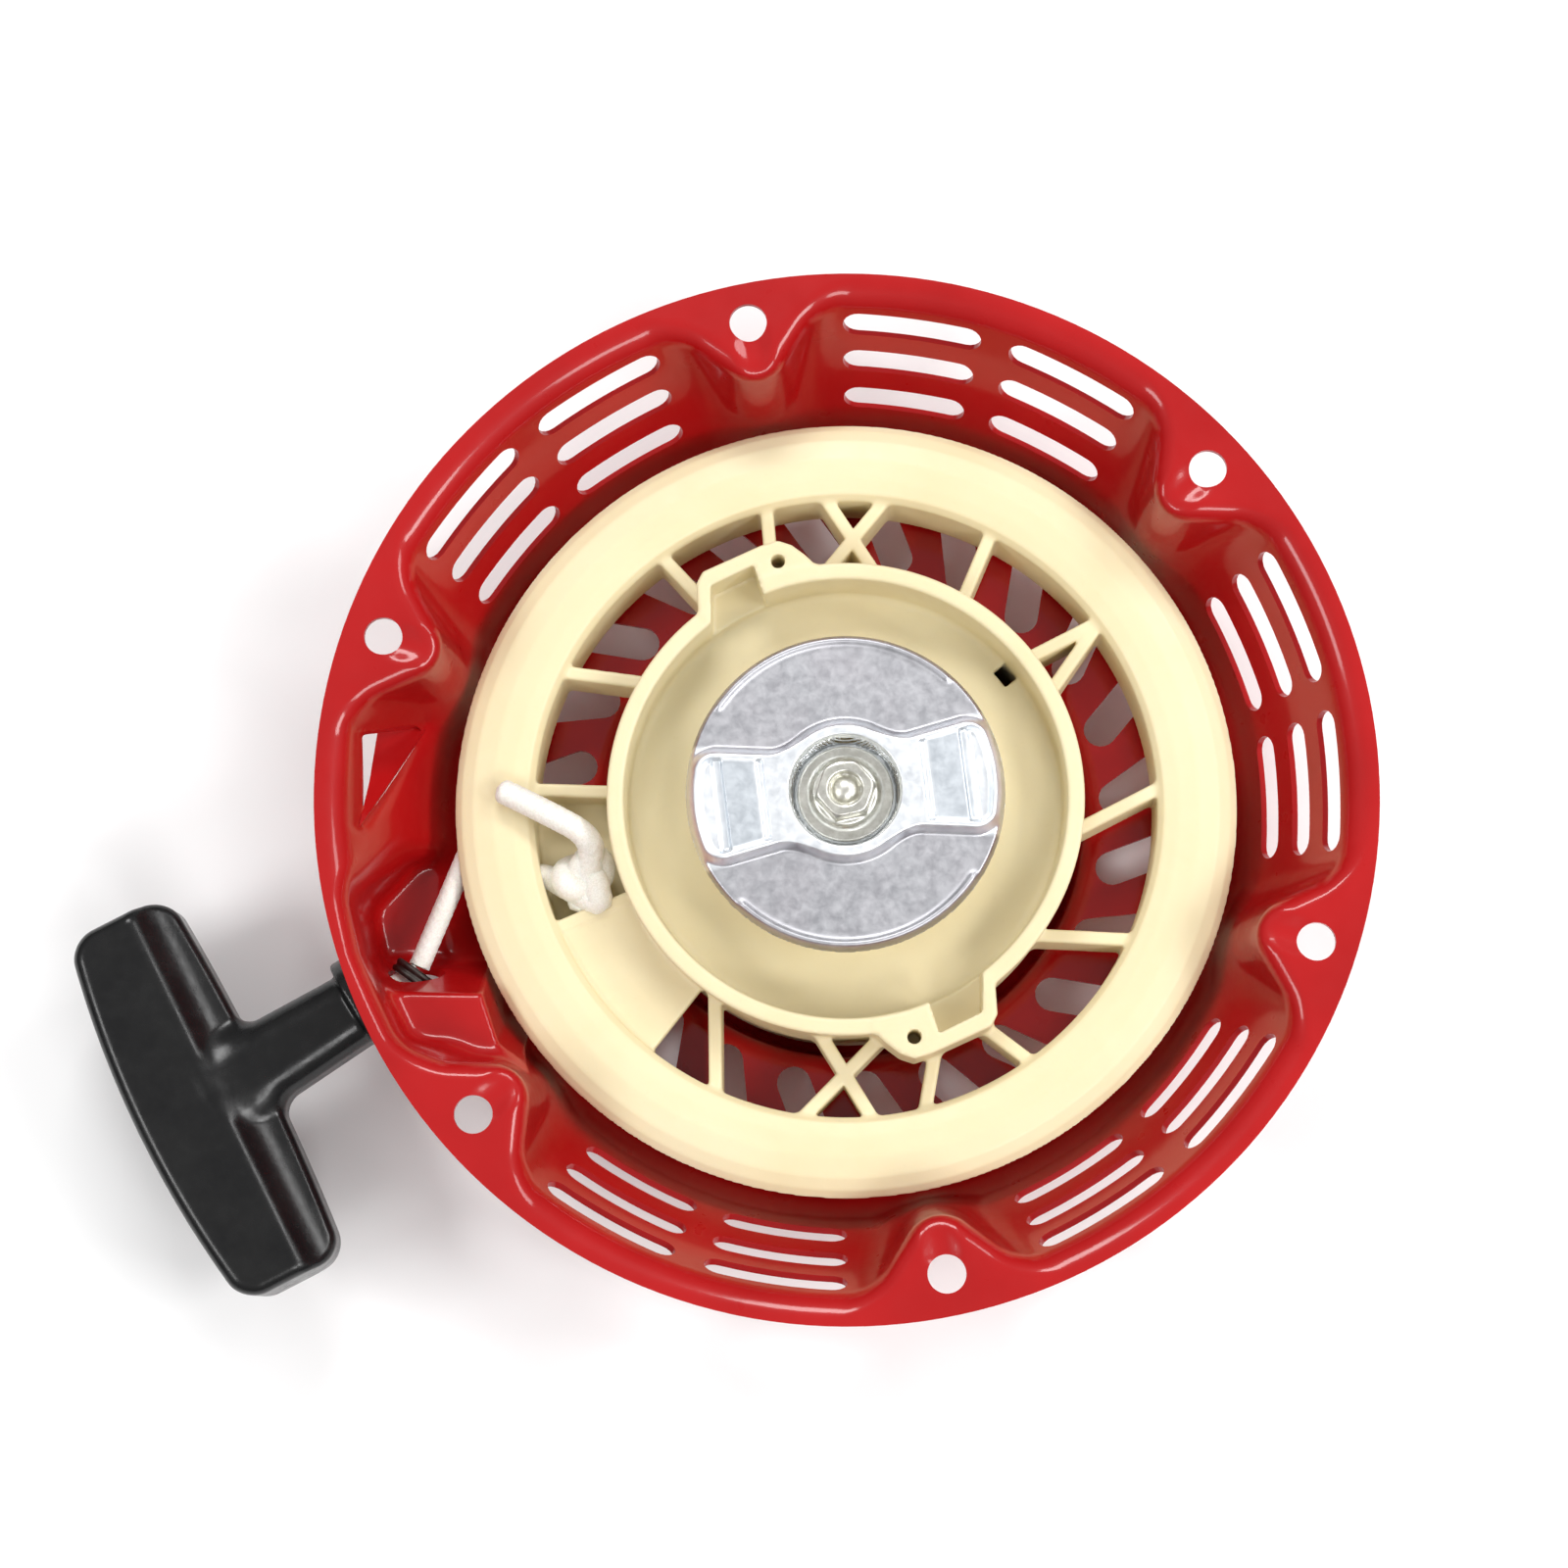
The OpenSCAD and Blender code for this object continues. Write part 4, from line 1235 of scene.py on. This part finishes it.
def grip_shape(x, y, z):
    """T grip in the pull's own frame: bevelled neck with a collar, the bar, and the rope's bore."""
    u, v = turned(x - EYELET[0], y - EYELET[1], PULL_ANGLE)
    z = z - ROPE_Z
    r = np.hypot(v, z)
    bar = bar_shape(u, v, z)
    neck_half = NECK_HALF + NECK_FLARE * (u - COLLAR_AT)
    neck = common(np.abs(v) - neck_half, np.abs(z) - 9.0, 2.4)
    neck = common(neck, 0.66 * (np.abs(v) - neck_half) + 0.75 * (np.abs(z) - 5.4), 1.6)
    neck = common(neck, np.abs(u - 34) - 20, 0.8)
    collar = common(common(r - 12, np.abs(z) - 11.3, 0.8), np.abs(u - COLLAR_AT - 1.7) - 1.7, 0.8)
    body = union(union(neck, collar, 1.2), bar, 4.5)
    body = without(body, np.maximum(r - 2.8, u - 62), 0.5)
    return without(body, np.maximum(r - 7.2, 58 - u), 0.9)


def grip():
    """The grip as one visible piece."""
    low = [low_of("grip", i) - 1.2 for i in range(3)]
    high = [top_of("grip", i) + 1.2 for i in range(3)]
    obj = shaped("grip_handle", grip_shape, low, high, GRID["grip"])
    return piece(obj, "grip", BLACK, "grip_rubber", "grip", sharp=45)


def pull_line(u, v=0.0, z=0.0):
    """Point in the pull's own frame, which starts at the eyelet."""
    x, y = turned(u, v, -PULL_ANGLE)
    return (EYELET[0] + x, EYELET[1] + y, ROPE_Z + z)


def rope_in_grip():
    """Rope from the eyelet through the neck."""
    route = straight(pull_line(-0.6), pull_line(60), ROPE_STEP)
    obj = rope_mesh("rope_to_grip", route)
    obj.data.materials.append(WHITE)
    smooth(obj, 80)
    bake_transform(obj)
    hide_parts("rope_grip_end")
    return obj


def grip_knot():
    """Small knot behind the neck's end, in the recess of the bar."""
    loop = [
        pull_line(62 + 1.2 * math.sin(2 * a), 3.1 * math.cos(a), 3.1 * math.sin(a))
        for a in np.linspace(0.3, 5.6, 9)
    ]
    route = catmull([pull_line(58.5)] + loop + [pull_line(66.5, 1.5, 0.5)], ROPE_STEP)
    obj = rope_mesh("grip_knot_rope", route, radius=2.3)
    return piece(obj, "grip", WHITE, "rope", "grip_knot", sharp=80)


def eyelet_ring():
    """Ferrule with rolled edges, coloured near black as painted shade round the rope's outlet."""

    def shape(x, y, z):
        r = np.hypot(x, y)
        past = np.abs(z + 0.8) - 0.9
        bead = np.hypot(r - 4.75, past) - 0.75
        tube = np.maximum(np.abs(r - 4.55) - 0.5, past)
        return union(bead, tube, 0.3)

    obj = shaped("outlet_ferrule", shape, (-7, -7, -4), (7, 7, 4), GRID["ferrule"])
    obj.data.transform(Matrix.Scale(MM, 4) @ eyelet_seat() @ Matrix.Scale(1 / MM, 4))
    return piece(obj, "housing", FERRULE_PAINTED_SHADE, "pawl_steel", "rope_eyelet", sharp=60)


# ---- Camera, light and floor ----

LENS_MM = 78.88
SENSOR_MM = 36
CAMERA_AT = (0.00074, -0.12194, 0.76597)
CAMERA_RIGHT = (0.99982, 0.0, -0.01902)
CAMERA_UP = (0.00301, 0.98741, 0.15813)


def camera():
    """Long lens almost straight above the open side, tipped slightly from below."""
    data = bpy.data.cameras.new("camera")
    data.lens = LENS_MM
    data.sensor_width = SENSOR_MM
    data.clip_end = 20
    obj = added("camera", data)
    right, up = Vector(CAMERA_RIGHT), Vector(CAMERA_UP)
    back = right.cross(up)
    turn = Matrix((right, up, back)).transposed().to_4x4()
    obj.matrix_world = Matrix.Translation(CAMERA_AT) @ turn
    bpy.context.scene.camera = obj


FLOOR_HALF = 6000
FLOOR_GAP = 0.2


def floor():
    """White ground just under the part."""
    low = cad_bounds[0][2] / MM - FLOOR_GAP
    corners = [(-1, -1), (1, -1), (1, 1), (-1, 1)]
    points = [(FLOOR_HALF * x, FLOOR_HALF * y, low) for x, y in corners]
    obj = mesh_object("studio_floor", points, [[0, 1, 2, 3]])
    obj.data.materials.append(studio_floor())


def area_light(name, place, target, size, power):
    """Rectangular lamp that faces a target."""
    data = bpy.data.lights.new(name, "AREA")
    data.shape = "RECTANGLE"
    data.size, data.size_y = size
    data.energy = power
    obj = added(name, data)
    obj.location = place
    obj.rotation_euler = (Vector(target) - Vector(place)).to_track_quat("-Z", "Y").to_euler()


SOFTBOXES = [
    ("east", -14, 46, 4.8), ("north_east", 34, 44, 3.0), ("north", 98, 48, 5.0), ("west", 196, 44, 3.4),
    ("south", -64, 50, 3.6),
]
SOFTBOX_SIZE = (0.46, 0.24)
SOFTBOX_FAR = 1.15
SKY = [(0.0, 0.30), (0.44, 0.26), (0.52, 0.10), (0.70, 0.34), (0.90, 0.52)]


def lights():
    """Softboxes around the part, in a room that is brighter overhead than at the sides."""
    for name, azimuth, elevation, power in SOFTBOXES:
        a, e = math.radians(azimuth), math.radians(elevation)
        place = (math.cos(a) * math.cos(e), math.sin(a) * math.cos(e), math.sin(e))
        area_light(name, [SOFTBOX_FAR * c for c in place], (0, 0, -0.03), SOFTBOX_SIZE, power)
    world = bpy.data.worlds.new("studio")
    world.use_nodes = True
    tree = world.node_tree
    place = tree.nodes.new("ShaderNodeTexCoord")
    split = tree.nodes.new("ShaderNodeSeparateXYZ")
    height = tree.nodes.new("ShaderNodeMapRange")
    height.inputs["From Min"].default_value = -1
    shade = tree.nodes.new("ShaderNodeValToRGB")
    set_stops(shade, [(position, (grey, grey, grey)) for position, grey in SKY])
    tree.links.new(place.outputs["Generated"], split.inputs["Vector"])
    tree.links.new(split.outputs["Z"], height.inputs["Value"])
    tree.links.new(height.outputs["Result"], shade.inputs["Fac"])
    tree.links.new(shade.outputs["Color"], tree.nodes["Background"].inputs["Color"])
    bpy.context.scene.world = world


def finish_cad_nodes():
    """Gives the CAD nodes that stay visible their materials."""
    finishes = {
        "centre_post": STEEL, "pawl_pin_a": STEEL, "pawl_pin_b": STEEL,
        "friction_spring": SPRING, "main_spring": SPRING, "pawl_spring_a": SPRING, "pawl_spring_b": SPRING,
    }
    for name, material in finishes.items():
        obj = frame["nodes"][name]
        for slot in obj.material_slots:
            slot.material = material


camera()
housing()
reel()
guide_plate()
setting_screw()
pawl("pawl_a", PAWL_ANGLES[0])
pawl("pawl_b", PAWL_ANGLES[1])
rope_lead()
rope_winding()
rope_knot()
grip()
rope_in_grip()
grip_knot()
eyelet_ring()
finish_cad_nodes()
floor()
lights()
bpy.context.scene.view_settings.view_transform = "Standard"
